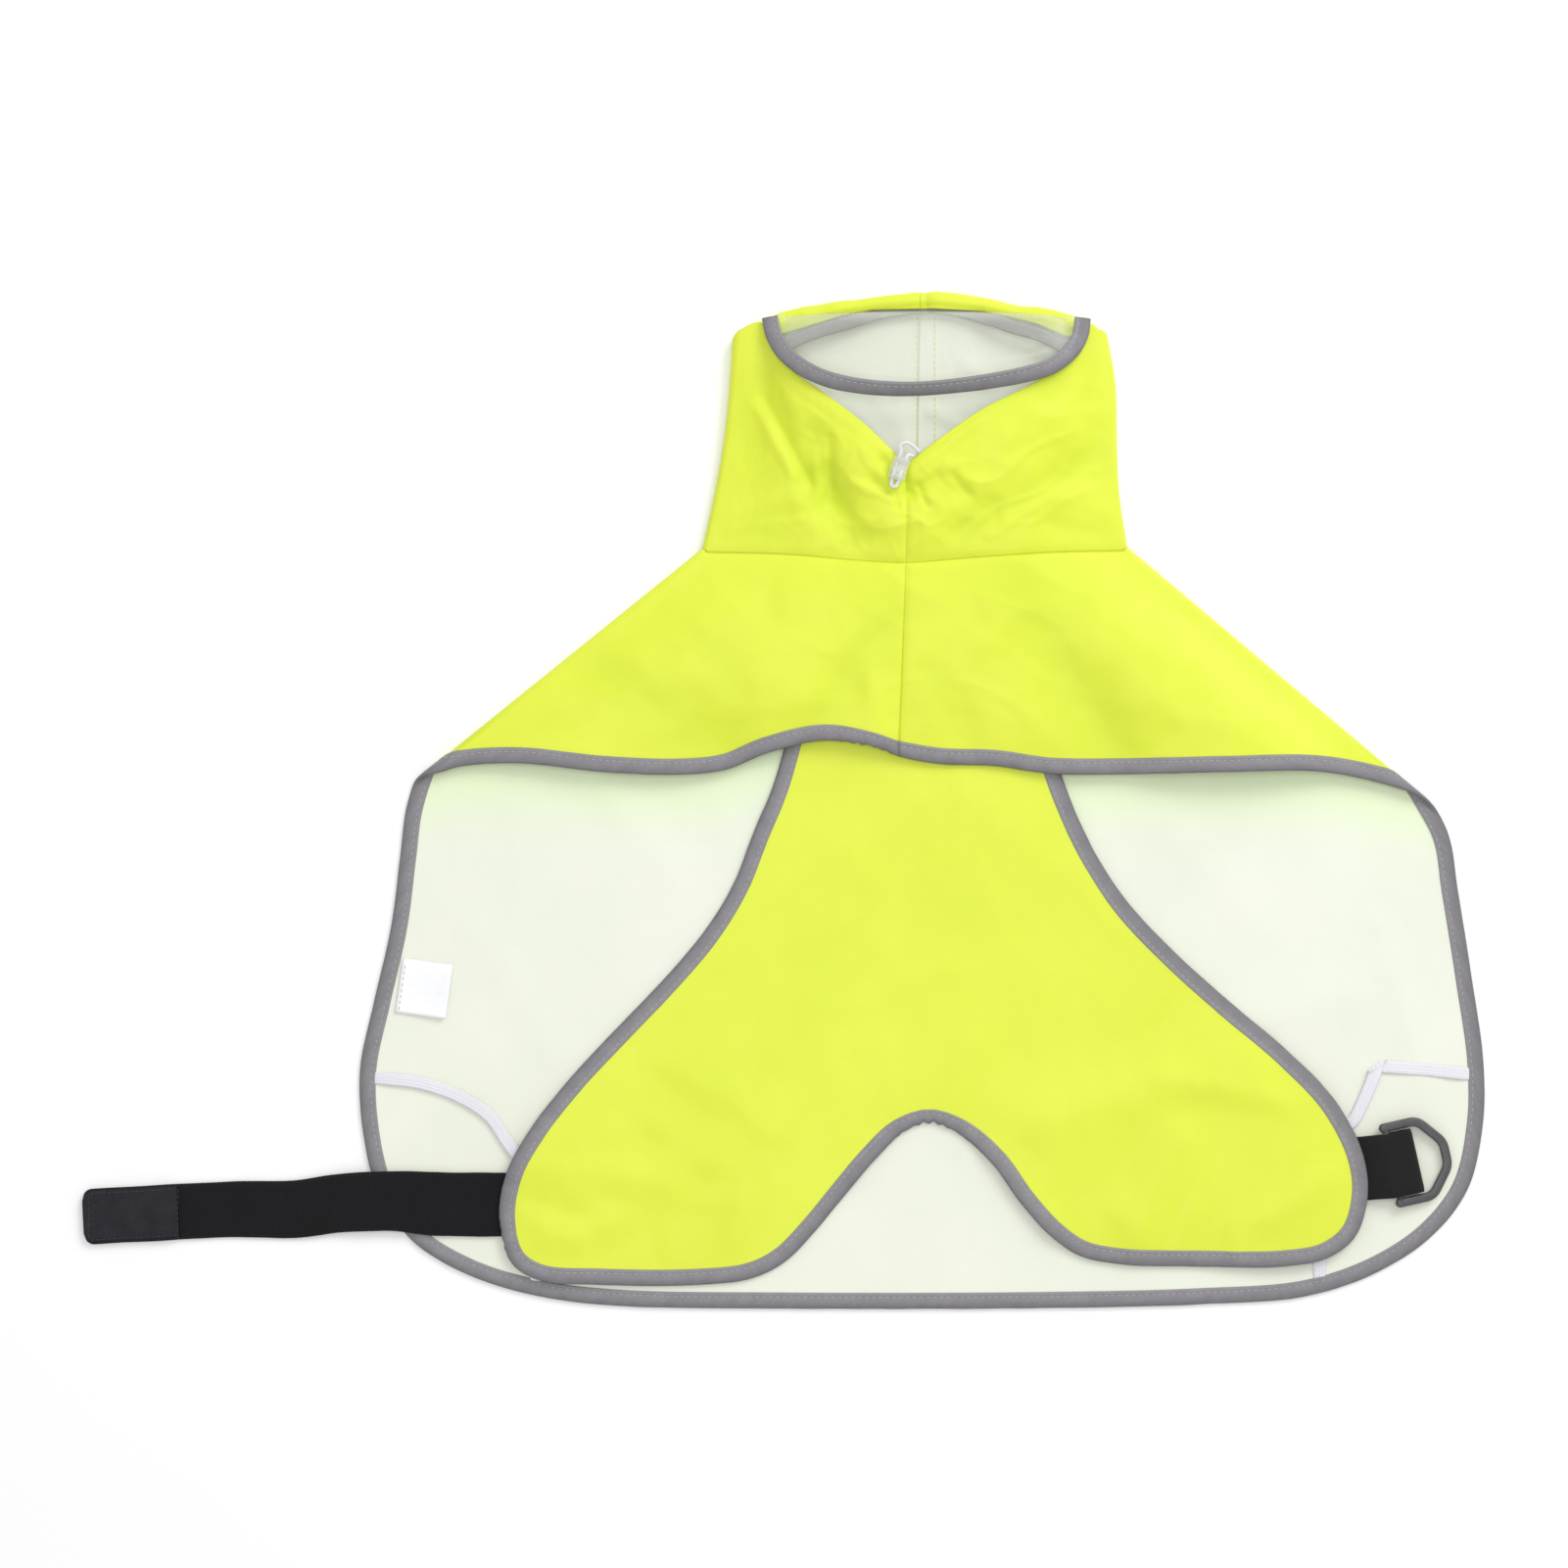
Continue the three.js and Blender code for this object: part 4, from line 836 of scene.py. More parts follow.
def insetEdge(distance):
    moved = inset(flatEdge, distance)
    turn = 26  # points over which the section turns to run along the chest seam
    hem = Vector(chest["hem"])
    for end, fold, step in ((0, leftFold, 1), (edgeCount, rightFold, -1)):
        section = (fold.unfold(hem + Vector((0, cape["tapeWidth"]))) - fold.unfold(hem)) * (distance / cape["tapeWidth"])
        for k in range(turn):
            at = end + step * k
            moved[at] = moved[at].lerp(flatEdge[at] + section, 1 - ease(0, turn, k))
    return moved


def crossing(line, fold, distance):
    for k in range(1, len(line)):
        a = fold.beyond(line[k - 1]) - distance
        b = fold.beyond(line[k]) - distance
        if (a < 0 <= b) if fold is rightFold else (a > 0 >= b):
            return k - 1 + a / (a - b)


def fromSeam(t):  # columns crowd towards the chest seam
    return 0.35 * t + 0.65 * t * t


def toSeam(t):
    return 1 - fromSeam(1 - t)


def edgeColumns(distance, front, bend, back, crowded=True):
    line = Track(insetEdge(distance))
    at = lambda fold, beyond: crossing(line.points, fold, beyond)
    bends = lambda fold: [at(fold, bendArc * (1 - k / bend)) for k in range(1, bend)]
    straight = lambda t: t
    places = [
        *line.spots(front, 0, at(leftFold, bendArc), fromSeam if crowded else straight),
        *bends(leftFold),
        *line.spots(back, at(leftFold, 0), at(rightFold, 0)),
        *bends(rightFold)[::-1],
        *line.spots(front, at(rightFold, bendArc), edgeCount, toSeam if crowded else straight),
    ]
    return [line.point(place) for place in places]


def neckColumns(front, bend, back):
    line = Track(smoothLine(frontNeck))
    middle = next(k for k, p in enumerate(line.points) if p.x >= chest["neck"][0] - 0.01)
    leftNeck = vec(leftFold.origin)
    rightNeck = vec(rightFold.origin)
    bends = lambda fold, at: [fold.moved(at, bendArc * (1 - k / bend)) for k in range(1, bend)]
    left = [leftFold.unfold(line.point(s)) for s in line.spots(front, 0, middle, toSeam)][::-1]
    right = [rightFold.unfold(line.point(s)) for s in line.spots(front, middle, None, fromSeam)][::-1]
    left[-1] = leftFold.moved(leftNeck, bendArc)
    right[0] = rightFold.moved(rightNeck, bendArc)
    rear = evenPoints(backNeck, back)
    rear[0] = leftNeck
    rear[-1] = rightNeck
    return [*left, *bends(leftFold, leftNeck), *rear, *bends(rightFold, rightNeck)[::-1], *right]


neck = neckColumns(cape["front"], cape["bend"], cape["back"])
capeEnds = edgeColumns(cape["hidden"], cape["front"], cape["bend"], cape["back"])
lastColumn = len(neck) - 1
isFront = lambda j: j <= cape["front"] or j >= lastColumn - cape["front"]


# The sewn seams lie in small valleys, and the laid cloth is nowhere quite even
def capePoint(j, v):
    flat = neck[j].lerp(capeEnds[j], v)
    p = layCape(flat, cape["lift"] * ease(0.93, 1, v))
    away = (capeEnds[j] - neck[j]).length * v
    toEdge = (capeEnds[j] - neck[j]).length - away
    calm = ease(2, 26, toEdge)
    if isFront(j):
        nearSeam = bump(abs(p.x - chestX(p.y)), 1.5)
        p.z -= max(0.55 * bump(away, 2.2), 0.6 * nearSeam)
        side = clamp01(min(-leftFold.beyond(p), -rightFold.beyond(p)) / 30)
        p.z += side * calm * (1.1 * soft(p.x, p.y, 34, 3) + 0.5 * soft(p.x, p.y, 13, 5))
        p.z += side * calm * 0.45 * crumple(p.x + 0.5 * p.y, p.y, 36, 4)
    elif cape["front"] + cape["bend"] <= j <= lastColumn - cape["front"] - cape["bend"]:
        ridge = -creaseDepth(backCreases, p.x, p.y)
        p.z += calm * (ridge + 0.3 * max(0, soft(p.x, p.y, 40, 8)) + 0.16 * max(0, soft(p.x, p.y, 15, 2)))
        p.z += calm * 0.16 * crumple(p.x, p.y, 48, 5)
    return p, flat


# Beside the front's hem the lining is painted with a yellowish shade, standing in for the hem's shadow lit through the
# yellow cloth
def hemPaintedShade(p):
    return 1.3 * bump(p.y - tableAt(frontHem, p.x, 1), 21)


def makeCape():
    grid, cuts, sunk = [], [], []
    for i in range(cape["rows"] + 1):
        row = [capePoint(j, i / cape["rows"]) for j in range(lastColumn + 1)]
        grid.append([p for p, _ in row])
        cuts.append([flat for _, flat in row])
        # Painted shade: darker in the front's creases, and on the back's lining a yellowish shade beside the hem
        sunk.append([creaseDepth(frontCreases, p.x, p.y) / 4 if isFront(j) else hemPaintedShade(p) for j, (p, _) in enumerate(row)])
    cloth = addPiece("cape_cloth", sheetMesh(grid, cuts, sunk=sunk), [shell, lining], ["cape"])
    thicken(cloth, cape["cloth"])
    columns = [edgeColumns(w, 112, 10, 480, False) for w in (0, cape["tapeWidth"])]
    outer, inner = [[layCape(p, cape["lift"]) for p in line] for line in columns]
    twist = lambda p: 0.8 * bump(hypot(p.x + 24, p.y - 24), 12) * ease(4, 5, p.z)
    band, stitches = boundEdge("cape_tape", outer, inner, ["cape_binding"], gather=twist)


makeCape()
print("cape made")

# ---- hood: two panels from the front over the side to the back, its top edge rolled forward
hood = {
    "cloth": 0.8, "corner": 4, "roll": 3.5, "bow": 2.7, "run": 56, "rollRows": 18, "left": -84.5, "right": 82.5, "top": 221.5,
    "leftDrop": 4.2, "rightDrop": 2.6,
}
hoodFaceLeft = [
    (-7.5, 157, 17), (-27, 176, 18), (-45, 190, 17), (-61, 202, 15), (-68, 212.5, 12.4), (-71.5, 220.5, 10.6),
    (-76, 224.8, 9.6), (-81, 223.5, 9.1), (-84.5, 221.5, 8.5),
]
hoodFaceRight = [
    (-7.5, 157, 17), (8, 169, 18), (28, 183, 18), (54, 196.6, 15.8), (67, 208, 13.2), (73, 217.5, 11),
    (75, 224.6, 9.6), (79.5, 223.8, 9.1), (82.5, 221.5, 8.5),
]
hoodTop = [
    (-84.5, 220.6), (-81.4, 222.4), (-77.7, 224.4), (-64.9, 230), (-51, 233), (-30, 235.8), (-9.7, 238.4), (4, 239.5),
    (18, 238.4), (32, 236), (45.5, 232.8), (59, 231.6), (73, 227.2), (79, 222.8), (82.5, 220.8),
]
rollEnd = [
    (-80, 221), (-66, 219.4), (-51, 223.9), (-37, 228.4), (-23, 231), (4, 231.6), (28, 230.4), (42, 227.4),
    (54, 224.4), (68, 218), (78, 221),
]
hoodCreases = [
    (-74, 196, -46, 140, 8, 2.2),
    (-50, 172, -34, 122, 7, 1.6),
    (-18, 158, -7, 146, 4, 1.8),
    (20, 126, 86, 160, 8, 1.5),
    (30, 186, 62, 196, 6, 1.4),
    (-94, 124, -64, 134, 4, 0.9),
    (-92, 134, -72, 142, 4, -0.6),
    (90, 124, 62, 130, 4, 0.8),
    (86, 136, 60, 146, 5, -0.6),
    (6, 151, -5, 143, 3.5, 1.1),
    (-24, 150, -12, 141, 4, 0.9),
    (-84, 206, -72, 172, 5, -0.8),
    (72, 206, 80, 176, 5, 0.8),
    (40, 172, 70, 178, 7, -0.7),
    (-40, 122, -20, 132, 5, -0.6),
    (-62, 186, -56, 160, 4, -0.7),
    (-84, 196, -72, 128, 13, 1.2),
    (-56, 150, -26, 126, 9, 0.9),
    (-30, 168, -16, 150, 4, -0.6),
    (60, 150, 88, 176, 6, 0.8),
    (40, 134, 78, 146, 4, -0.6),
    (10, 146, 34, 138, 5, 0.8),
    (-82, 188, -62, 152, 2.4, -0.9),
    (-76, 190, -54, 148, 2.6, 0.9),
    (-44, 170, -44, 146, 2.2, 0.8),
    (-52, 164, -50, 140, 2, -0.6),
    (-34, 149, -14, 140, 2, -0.6),
    (-90, 128, -58, 132, 2.2, -0.6),
    (32, 124, 92, 162, 2.6, -0.7),
    (50, 178, 82, 184, 2.4, -0.5),
    (14, 152, 22, 143, 1.8, 0.7),
    (-2, 148, 2, 138, 1.6, 0.6),
    (-14, 146, -12, 137, 1.6, 0.6),
]
hoodBackCreases = [
    (-10, 186, -5, 146, 5, -1.1),
    (-70, 121, -20, 124, 4, -0.9),
    (20, 122, 66, 120, 4, -0.8),
    (-60, 132, -34, 128, 4, -0.6),
    (34, 176, 46, 158, 5, -1.2),
    (-60, 190, -44, 168, 6, -0.7),
    (20, 206, 30, 198, 4, -0.9),
    (4, 184, 21, 176, 2.6, -1.1),
    (-24, 196, -14, 180, 4, -0.6),
]


def hoodEnds():
    left = evenPoints(hoodFaceLeft, cape["front"], fromSeam)
    right = evenPoints(hoodFaceRight, cape["front"], fromSeam)[::-1]
    rear = [Vector((p.x, p.y, cape["middle"])) for p in evenPoints(hoodTop, cape["back"])]

    def corner(x, side):
        made = []
        radius = hood["corner"]
        for k in range(1, cape["bend"]):
            turn = pi * (0.5 - k / cape["bend"])
            top = hood["top"] - hood["leftDrop" if side < 0 else "rightDrop"] * cos(turn) ** 2
            made.append(Vector((x + side * radius * cos(turn), top, cape["middle"] + radius + radius * sin(turn))))
        return made

    return [*left, *corner(hood["left"], -1), *rear, *corner(hood["right"], 1)[::-1], *right]


# The seam down the hood's back, pressed open and stitched down on both sides
backSeam = {"left": -1.8, "right": 6.4, "thick": 0.35}


def seamBand(x):
    return backSeam["thick"] * (ease(backSeam["left"] - 2, backSeam["left"] - 0.6, x) - ease(backSeam["right"] + 0.6, backSeam["right"] + 2, x))


def hoodGrid():
    ends = hoodEnds()
    backStart = cape["front"] + cape["bend"]
    total = hood["run"] + hood["rollRows"]
    grid, cuts, sunk = [[[] for _ in range(total + 1)] for _ in range(3)]
    run = 0
    for j in range(lastColumn + 1):
        start = capePoint(j, 0)[0]
        end = ends[j]
        run += (ends[j] - ends[j - 1]).length if j else 0
        onBack = backStart < j < backStart + cape["back"]
        fromSide = min(j - backStart, backStart + cape["back"] - j) * 44 / cape["back"] if onBack else 0
        turned = pi * ease(0, 2.6, fromSide) if onBack else 0
        runEnd = end - Vector((0, hood["roll"] * sin(turned / 2), 0)) if onBack else end
        back = (runEnd.y - tableAt(rollEnd, end.x, 1)) * ease(0.4, 3, fromSide) if onBack else 0
        rollLength = hood["roll"] * turned + back
        columnLength = (runEnd - start).length
        fromCorner = min(j, lastColumn - j) / cape["front"]
        for i in range(total + 1):
            tail = i - hood["run"] if onBack else 0
            v = min(1, i / hood["run"]) if onBack else i / total
            p = start.lerp(runEnd, v)
            away = v * columnLength
            toFace = (1 - v) * columnLength
            if isFront(j):
                puff = sin(pi * v) * (1 - fromCorner**3)
                p.z += 3.5 * puff - creaseDepth(hoodCreases, p.x, p.y, 1.7) * sqrt(max(0, puff))
                p.z += 0.55 * (1 - bump(away, 2.2)) * (1 - v)
                p.z -= 0.8 * bump(abs(p.x - chest["neck"][0]), 1.4) * ease(0, 4, away)
                side = 1 - fromCorner**4
                p.z += side * (0.45 * bump(toFace - 4.6, 3) - 0.15 * bump(toFace - 10, 1.5)) * ease(0, 8, away)
                loose = sqrt(max(0, puff))
                p.z += loose * (1.5 * soft(p.x, p.y, 24, 6) + 0.6 * soft(p.x, p.y, 11, 9))
                p.z += loose * (1.1 * crumple(p.x - 0.6 * p.y, p.y, 26, 12) + 0.5 * crumple(p.x, p.y, 13, 2))
            if onBack:
                calm = ease(0, 10, away) * ease(0, 6, fromSide * 3)
                p.z = cape["middle"] + backLift(p.x, p.y) + calm * -creaseDepth(hoodBackCreases, p.x, p.y)
                p.z += calm * (seamBand(p.x) + 0.5 * max(0, soft(p.x, p.y, 24, 4)))
                p.z = lerp(p.z, cape["middle"], ease(0.9, 1, v) * ease(0.4, 3, fromSide))
            # Painted shade: the front's creases are darkened in colour
            crease = creaseDepth(hoodCreases, p.x, p.y) / 3 if isFront(j) else 0
            p.x += hood["bow"] * sin(pi * v) * clamp01(-p.x / 90)
            p.x += (2.2 * bump(v - 0.78, 0.2) - 1.2 * bump(v - 0.25, 0.18)) * clamp01(p.x / 90)
            if tail > 0:
                reach = rollLength * tail / hood["rollRows"]
                angle = min(reach / hood["roll"], turned)
                straight = max(0, reach - hood["roll"] * turned)
                wave = (1 + 0.1 * soft(p.x, 3, 9, 2)) * (1 - 0.12 * bump(p.x - 2, 2))
                p.y += hood["roll"] * wave * sin(angle) - straight * cos(pi - turned)
                p.z += hood["roll"] * wave * (1 - cos(angle)) + straight * (0.12 + 0.06 * soft(p.x, 8, 12, 5))
                p.z -= 1.5 * ease(0.62, 1, tail / hood["rollRows"]) * clamp01(straight / 3)
                # Painted shade along the roll's turned-down end and beside its pleat
                crease = 0.7 * ease(0.66, 1, tail / hood["rollRows"]) + 0.6 * bump(p.x - 2, 1.6)
                away += reach
            grid[i].append(p)
            cuts[i].append((run, away))
            sunk[i].append(crease)
    return grid, cuts, sunk


def makeHood():
    tables = hoodGrid()
    middle = cape["front"] + cape["bend"] + cape["back"] // 2
    for side, low, high in (("left", 0, middle), ("right", middle, lastColumn)):
        grid, cuts, sunk = [[row[low : high + 1] for row in rows] for rows in tables]
        made = sheetMesh(grid, cuts, turned=True, sunk=sunk)
        panel = addPiece(f"hood_{side}_cloth", made, [shell, lining], [f"hood_{side}"])
        thicken(panel, hood["cloth"])
    stitches = bmesh.new()  # both sides of the seam down the back
    for x in (backSeam["left"], backSeam["right"]):
        line = []
        for k in range(60):
            y = lerp(119, 232, k / 59)
            height = cape["middle"] + backLift(x, y) + hood["cloth"] / 2 + backSeam["thick"] + 0.1
            height += max(0, -creaseDepth(hoodBackCreases, x, y)) * ease(0, 10, y - 114) + 0.5 * max(0, soft(x, y, 24, 4))
            line.append(Vector((x, y, height)))
        stitchRow(stitches, line, [Vector((0, 0, 1))] * 60, pitch=2.9, length=2.1, width=0.5, height=0.3)
    addPiece("hood_seam_stitches", stitches, [yellowThread])


makeHood()
print("hood made")

# ---- face tape and the clear peak
faceTape = [
    (-67, 212.5, 8.7), (-51, 219.6, 8.9), (-38, 223.6, 8.5), (-31, 225.9, 7.4), (-24, 228.4, 5.7), (-11, 231.2, 4.9),
    (4, 232.4, 4.6), (18, 230.8, 4.9), (29, 227.6, 5.7), (36, 225.2, 7.4), (43, 222.4, 8.5), (54, 219.4, 8.9),
    (70, 211.5, 8.7),
]
peakEdge = [
    (-75, 226, 12.6), (-73, 217, 14.6), (-67, 206.5, 17.2), (-54, 196.6, 19.6), (-37, 190.9, 20.6), (-10, 188.6, 20.2),
    (18, 190.4, 20.2), (46, 194.6, 20.4), (62, 199.4, 19.4), (72.5, 207.5, 17.2), (77.8, 217, 14.6), (79.2, 225.8, 12.6),
]
peak = {"chord": 226.2, "bow": 3.2, "height": 12, "left": -63.4, "right": 67.4, "columns": 96, "rows": 34, "thick": 0.5, "dome": 4.5, "slant": 38}


def makePeak():
    strip = evenPoints(faceTape, 80)
    made = bandMesh(strip, [6] * len(strip), 0.8, steps=6)
    addPiece("face_strip", made, [tape], ["face_tape"])
    n = peak["columns"]
    edge = evenPoints(peakEdge, n)
    roots = evenPoints(faceTape, n)
    sections = []
    for k in range(n + 1):
        way = edge[min(k + 1, n)] - edge[max(k - 1, 0)]
        inward = Vector((-way.y, way.x, 0)).normalized()
        slant = radians(peak["slant"] * sin(pi * k / n) ** 2)
        sections.append(Vector((inward.x * cos(slant), inward.y * cos(slant), sin(slant))))
    columns = []
    for k in range(n + 1):
        s = k / n
        arch = sin(pi * s)
        chord = Vector((lerp(peak["left"], peak["right"], s), peak["chord"] + peak["bow"] * sqrt(max(0, arch)), peak["height"]))
        root = Vector((lerp(chord.x, roots[k].x, 0.5), roots[k].y - 2.6, roots[k].z + 1.3))
        near = edge[k] + sections[k] * 10.8
        span = []
        for t in (0.12, 0.35, 0.6, 0.82):
            p = chord.lerp(near, t)
            p.z += peak["dome"] * arch * sin(pi * sqrt(t)) + 0.4 * arch * soft(p.x, p.y, 16, 3)
            span.append(p)
        columns.append(evenPoints([root, root.lerp(chord, 0.6), chord, *span, near, edge[k] + sections[k] * 3], peak["rows"]))
    grid = [[column[i] for column in columns] for i in range(peak["rows"] + 1)]
    cuts = [[(p.x, p.y) for p in row] for row in grid]
    sheet = addPiece("peak_film", sheetMesh(grid, cuts, turned=True), [film], ["peak"])
    thicken(sheet, peak["thick"], 0)
    inner = [edge[k] + sections[k] * 7.5 for k in range(n + 1)]
    band, stitches = boundEdge("peak_tape", edge, inner, ["peak_binding"])


makePeak()
print("peak made")

# ---- belly flap: one cut that widens to two lobes
flap = {"cloth": 0.8, "side": 72, "bottom": 120, "hidden": 2.4, "leftLift": 1.8, "rightLift": 3.4}
flapLeft = [
    (-52, 110), (-55, 70), (-62, 36), (-69.5, 8), (-79, -15), (-88, -38), (-102, -61), (-121.5, -84), (-143.5, -107),
    (-165, -130), (-183, -153), (-194.5, -174), (-198, -196), (-193, -215),
]
flapBottom = [
    (-180, -224), (-150, -226.4), (-106, -226.6), (-80, -223.6), (-64.5, -216), (-50, -201.5), (-36, -184.5),
    (-22, -168), (-9, -156), (4, -152), (18, -157), (33, -170), (46, -188), (60, -203.5), (74, -213), (90, -216.6),
    (130, -218), (170, -217.6), (190, -213.6),
]
flapRight = [
    (203, -203), (208.4, -185), (206.5, -166), (194, -141), (172.5, -118), (145.5, -95), (120, -72), (98, -49),
    (82.5, -26), (71.5, -3), (62, 24), (54, 66), (50, 110),
]
flapCreases = [
    (-190, -168, -120, -178, 9, -1.2),
    (60, -150, 150, -120, 14, -1.4),
    (100, -205, 120, -160, 10, -1.2),
    (-120, -120, -70, -150, 10, -0.6),
    (-30, -60, 20, -110, 14, -0.6),
    (-10, -146, -20, -118, 6, -0.5),
    (12, -146, 26, -116, 6, -0.6),
    (-176, -206, -140, -196, 6, -0.7),
    (160, -196, 190, -176, 6, -0.8),
    (-60, -10, -20, -40, 10, -0.5),
    (20, 6, 56, -30, 10, -0.5),
    (-186, -176, -150, -190, 4, -0.5),
    (-188, -192, -160, -207, 3.5, -0.5),
    (-184, -158, -140, -156, 5, -0.6),
    (145, -214, 148, -194, 3, -0.8),
    (118, -212, 128, -190, 5, -0.6),
    (110, -128, 166, -140, 6, -0.6),
    (90, -190, 104, -204, 4, -0.5),
    (-90, -206, -84, -184, 5, -0.5),
    (-140, -136, -96, -172, 7, -0.5),
    (30, -172, 58, -204, 9, -1.5),
    (-14, -162, -30, -178, 7, -0.8),
]


def flapHeight(x, y, ripple=0):
    lift = flap["leftLift"] if x < 0 else flap["rightLift"]
    lobe = lift * ease(118, 182, abs(x)) * ease(-96, -148, y)
    onBack = 2.6 + backLift(x, y) + lobe - creaseDepth(flapCreases, x, y, 1.5)
    onBack += ripple * (0.5 * max(0, soft(x, y, 30, 1)) + 0.25 * max(0, soft(x, y, 12, 7)))
    onBack += ripple * 0.4 * crumple(x, y - 0.4 * x, 40, 6)
    underFront = 2 * cape["bendRadius"] + frontRise(x, y) - 2.2
    return lerp(onBack, max(onBack, underFront), ease(22, 110, y))


flapEdge = evenPoints([*flapLeft, *flapBottom, *flapRight], 1600)


def nearestPlace(points, x, y):
    return min(range(len(points)), key=lambda k: hypot(points[k].x - x, points[k].y - y))


def makeFlap():
    track = Track(flapEdge)
    lowLeft = nearestPlace(flapEdge, -190, -219)
    lowRight = nearestPlace(flapEdge, 198, -209)
    inside = Track(inset(flapEdge, flap["hidden"]))
    left = [inside.point(k) for k in track.spots(flap["side"], 0, lowLeft)]
    bottom = [inside.point(k) for k in track.spots(flap["bottom"], lowLeft, lowRight)]
    right = [inside.point(k) for k in track.spots(flap["side"], lowRight, 1600)][::-1]
    grid, cuts = [], []
    for i in range(flap["side"] + 1):
        row = []
        v = i / flap["side"]
        for j in range(flap["bottom"] + 1):
            s = j / flap["bottom"]
            p = left[i].lerp(right[i], s) + left[0].lerp(right[0], s) * (1 - v) + bottom[j] * v
            p -= left[0].lerp(right[0], s) * (1 - v) + left[-1].lerp(right[-1], s) * v
            row.append(p)
        rim = lambda j: min(j, flap["bottom"] - j, flap["side"] - i)
        grid.append([Vector((p.x, p.y, flapHeight(p.x, p.y, ease(1, 6, rim(j))))) for j, p in enumerate(row)])
        cuts.append([(p.x, p.y) for p in row])
    cloth = addPiece("flap_cloth", sheetMesh(grid, cuts, turned=True), [shell, lining], ["belly_flap"])
    thicken(cloth, flap["cloth"])
    inner = Track(inset(flapEdge, cape["tapeWidth"]))
    lay = lambda p: Vector((p.x, p.y, flapHeight(p.x, p.y)))
    places = track.spots(560)
    gathers = lambda p: bump(hypot(p.x - 4, p.y + 153), 13) + 0.5 * bump(hypot(p.x + 196, p.y + 205), 9)
    band, stitches = boundEdge(
        "flap_tape",
        [lay(track.point(k)) for k in places],
        [lay(inner.point(k)) for k in places],
        ["belly_flap_binding"],
        gather=gathers,
    )


makeFlap()
print("belly flap made")


# ---- leash flap: a tongue on the outside of the back, so it lies underneath
def tonguePoint(distance, t):
    # From the top left corner down, round the tongue and up again, t from 0 to 1
    half = leash["width"] / 2 - distance
    radius = leash["corner"] - distance
    low = leash["top"] - leash["length"] + distance
    straight = leash["top"] - low - radius
    flatPart = 2 * (half - radius)
    total = 2 * straight + pi * radius + flatPart
    run = t * total
    if run > total / 2:
        p = tonguePoint(distance, 1 - t)
        return Vector((2 * leash["x"] - p.x, p.y, 0))
    if run < straight:
        return Vector((leash["x"] - half, leash["top"] - run, 0))
    turn = min((run - straight) / radius, pi / 2)
    over = max(0, run - straight - pi * radius / 2)
    centre = Vector((leash["x"] - half + radius, low + radius, 0))
    return centre + Vector((-radius * cos(turn) + over, -radius * sin(turn), 0))


def makeLeashFlap():
    n, rows = 60, 24
    top = Vector((leash["x"], leash["top"], 0))
    grid, cuts = [], []
    for i in range(rows + 1):
        row = []
        for k in range(n + 1):
            rim = tonguePoint(2.2, k / n)
            inside = Vector((lerp(rim.x, top.x, i / rows), lerp(rim.y, top.y, i / rows), 0))
            inside.z = 0.5 + 0.12 * soft(inside.x, inside.y, 12, 5)
            row.append(inside)
        grid.append(row)
        cuts.append([(p.x, p.y) for p in row])
    made = sheetMesh(grid, cuts, turned=True)
    bmesh.ops.remove_doubles(made, verts=made.verts[:], dist=0.00001)
    panel = addPiece("leash_flap_cloth", made, [shell, lining], ["leash_flap"])
    thicken(panel, 0.7)
    outer = [tonguePoint(0, k / 120) + Vector((0, 0, 0.52)) for k in range(121)]
    inner = [tonguePoint(7.5, k / 120) + Vector((0, 0, 0.52)) for k in range(121)]
    band, stitches = boundEdge("leash_flap_tape", outer, inner, ["leash_flap_binding"], flatten=0.55, sides=(-1,))


makeLeashFlap()
print("leash flap made")

# ---- belly strap and its hook tab
strapRows = [  # x, y, z and the width there
    (-190, -189, 2.1, 29.8), (-208, -189, 2.2, 29.8), (-228, -188.6, 2.6, 29.6), (-246, -187.4, 3, 28),
    (-262, -187.6, 3.3, 27.6), (-276, -189, 2.1, 27), (-292, -191, 1.05, 26.8), (-312, -191.4, 0.78, 26.4),
    (-330, -191.6, 0.76, 26), (-366, -193.4, 0.76, 26), (-393, -195, 0.76, 26),
]
strap = {"thick": 1.5, "tabLength": 45, "tabThick": 1.3, "tabInset": 0.6, "corner": 4.5}


def makeStrap():
    centres = evenPoints(strapRows, 220)
    widths = [tableAt(strapRows[::-1], c.x, 3) for c in centres]
    last = centres[-1]

    def tucked(c, size):
        away = (c - last).length
        return 2 * size * (1 - sqrt(max(0, 1 - (1 - away / size) ** 2))) if away < size else 0

    wavy = [w - tucked(c, strap["corner"]) + 0.5 * soft(c.x, 5, 17, 1) for c, w in zip(centres, widths)]
    lifted = [c + Vector((0, 0.35 * soft(c.x, 2, 22, 4), 0.5 * max(0, soft(c.x, 1, 14, 2)))) for c in centres]
    made = bandMesh(lifted, wavy, strap["thick"], steps=12)
    addPiece("strap_elastic", made, [black], ["belly_strap"])
    end = strapRows[-1][0] + strap["tabLength"]
    above = Vector((0, 0, (strap["thick"] + strap["tabThick"]) / 2))
    chosen = [(c + above, w - 2 * strap["tabInset"]) for c, w in zip(lifted, wavy) if c.x < end]
    tab = bandMesh([c for c, _ in chosen], [w for _, w in chosen], strap["tabThick"], steps=12)
    addPiece("hook_field", tab, [hooks], ["hook_tab"])
    stitches = bmesh.new()
    up = Vector((0, 0, 1))
    high = strap["tabThick"] / 2 + 0.1
    side = [Vector((c.x, c.y + w / 2 - 1.6, c.z + high)) for c, w in chosen[:-3]]
    other = [Vector((c.x, c.y - w / 2 + 1.6, c.z + high)) for c, w in chosen[:-3]]
    for line in (side, other, [side[0], other[0]], [side[-1], other[-1]]):
        stitchRow(stitches, line, [up] * len(line), pitch=2.6, length=1.9)
    addPiece("hook_field_stitches", stitches, [blackThread])


makeStrap()
print("strap made")

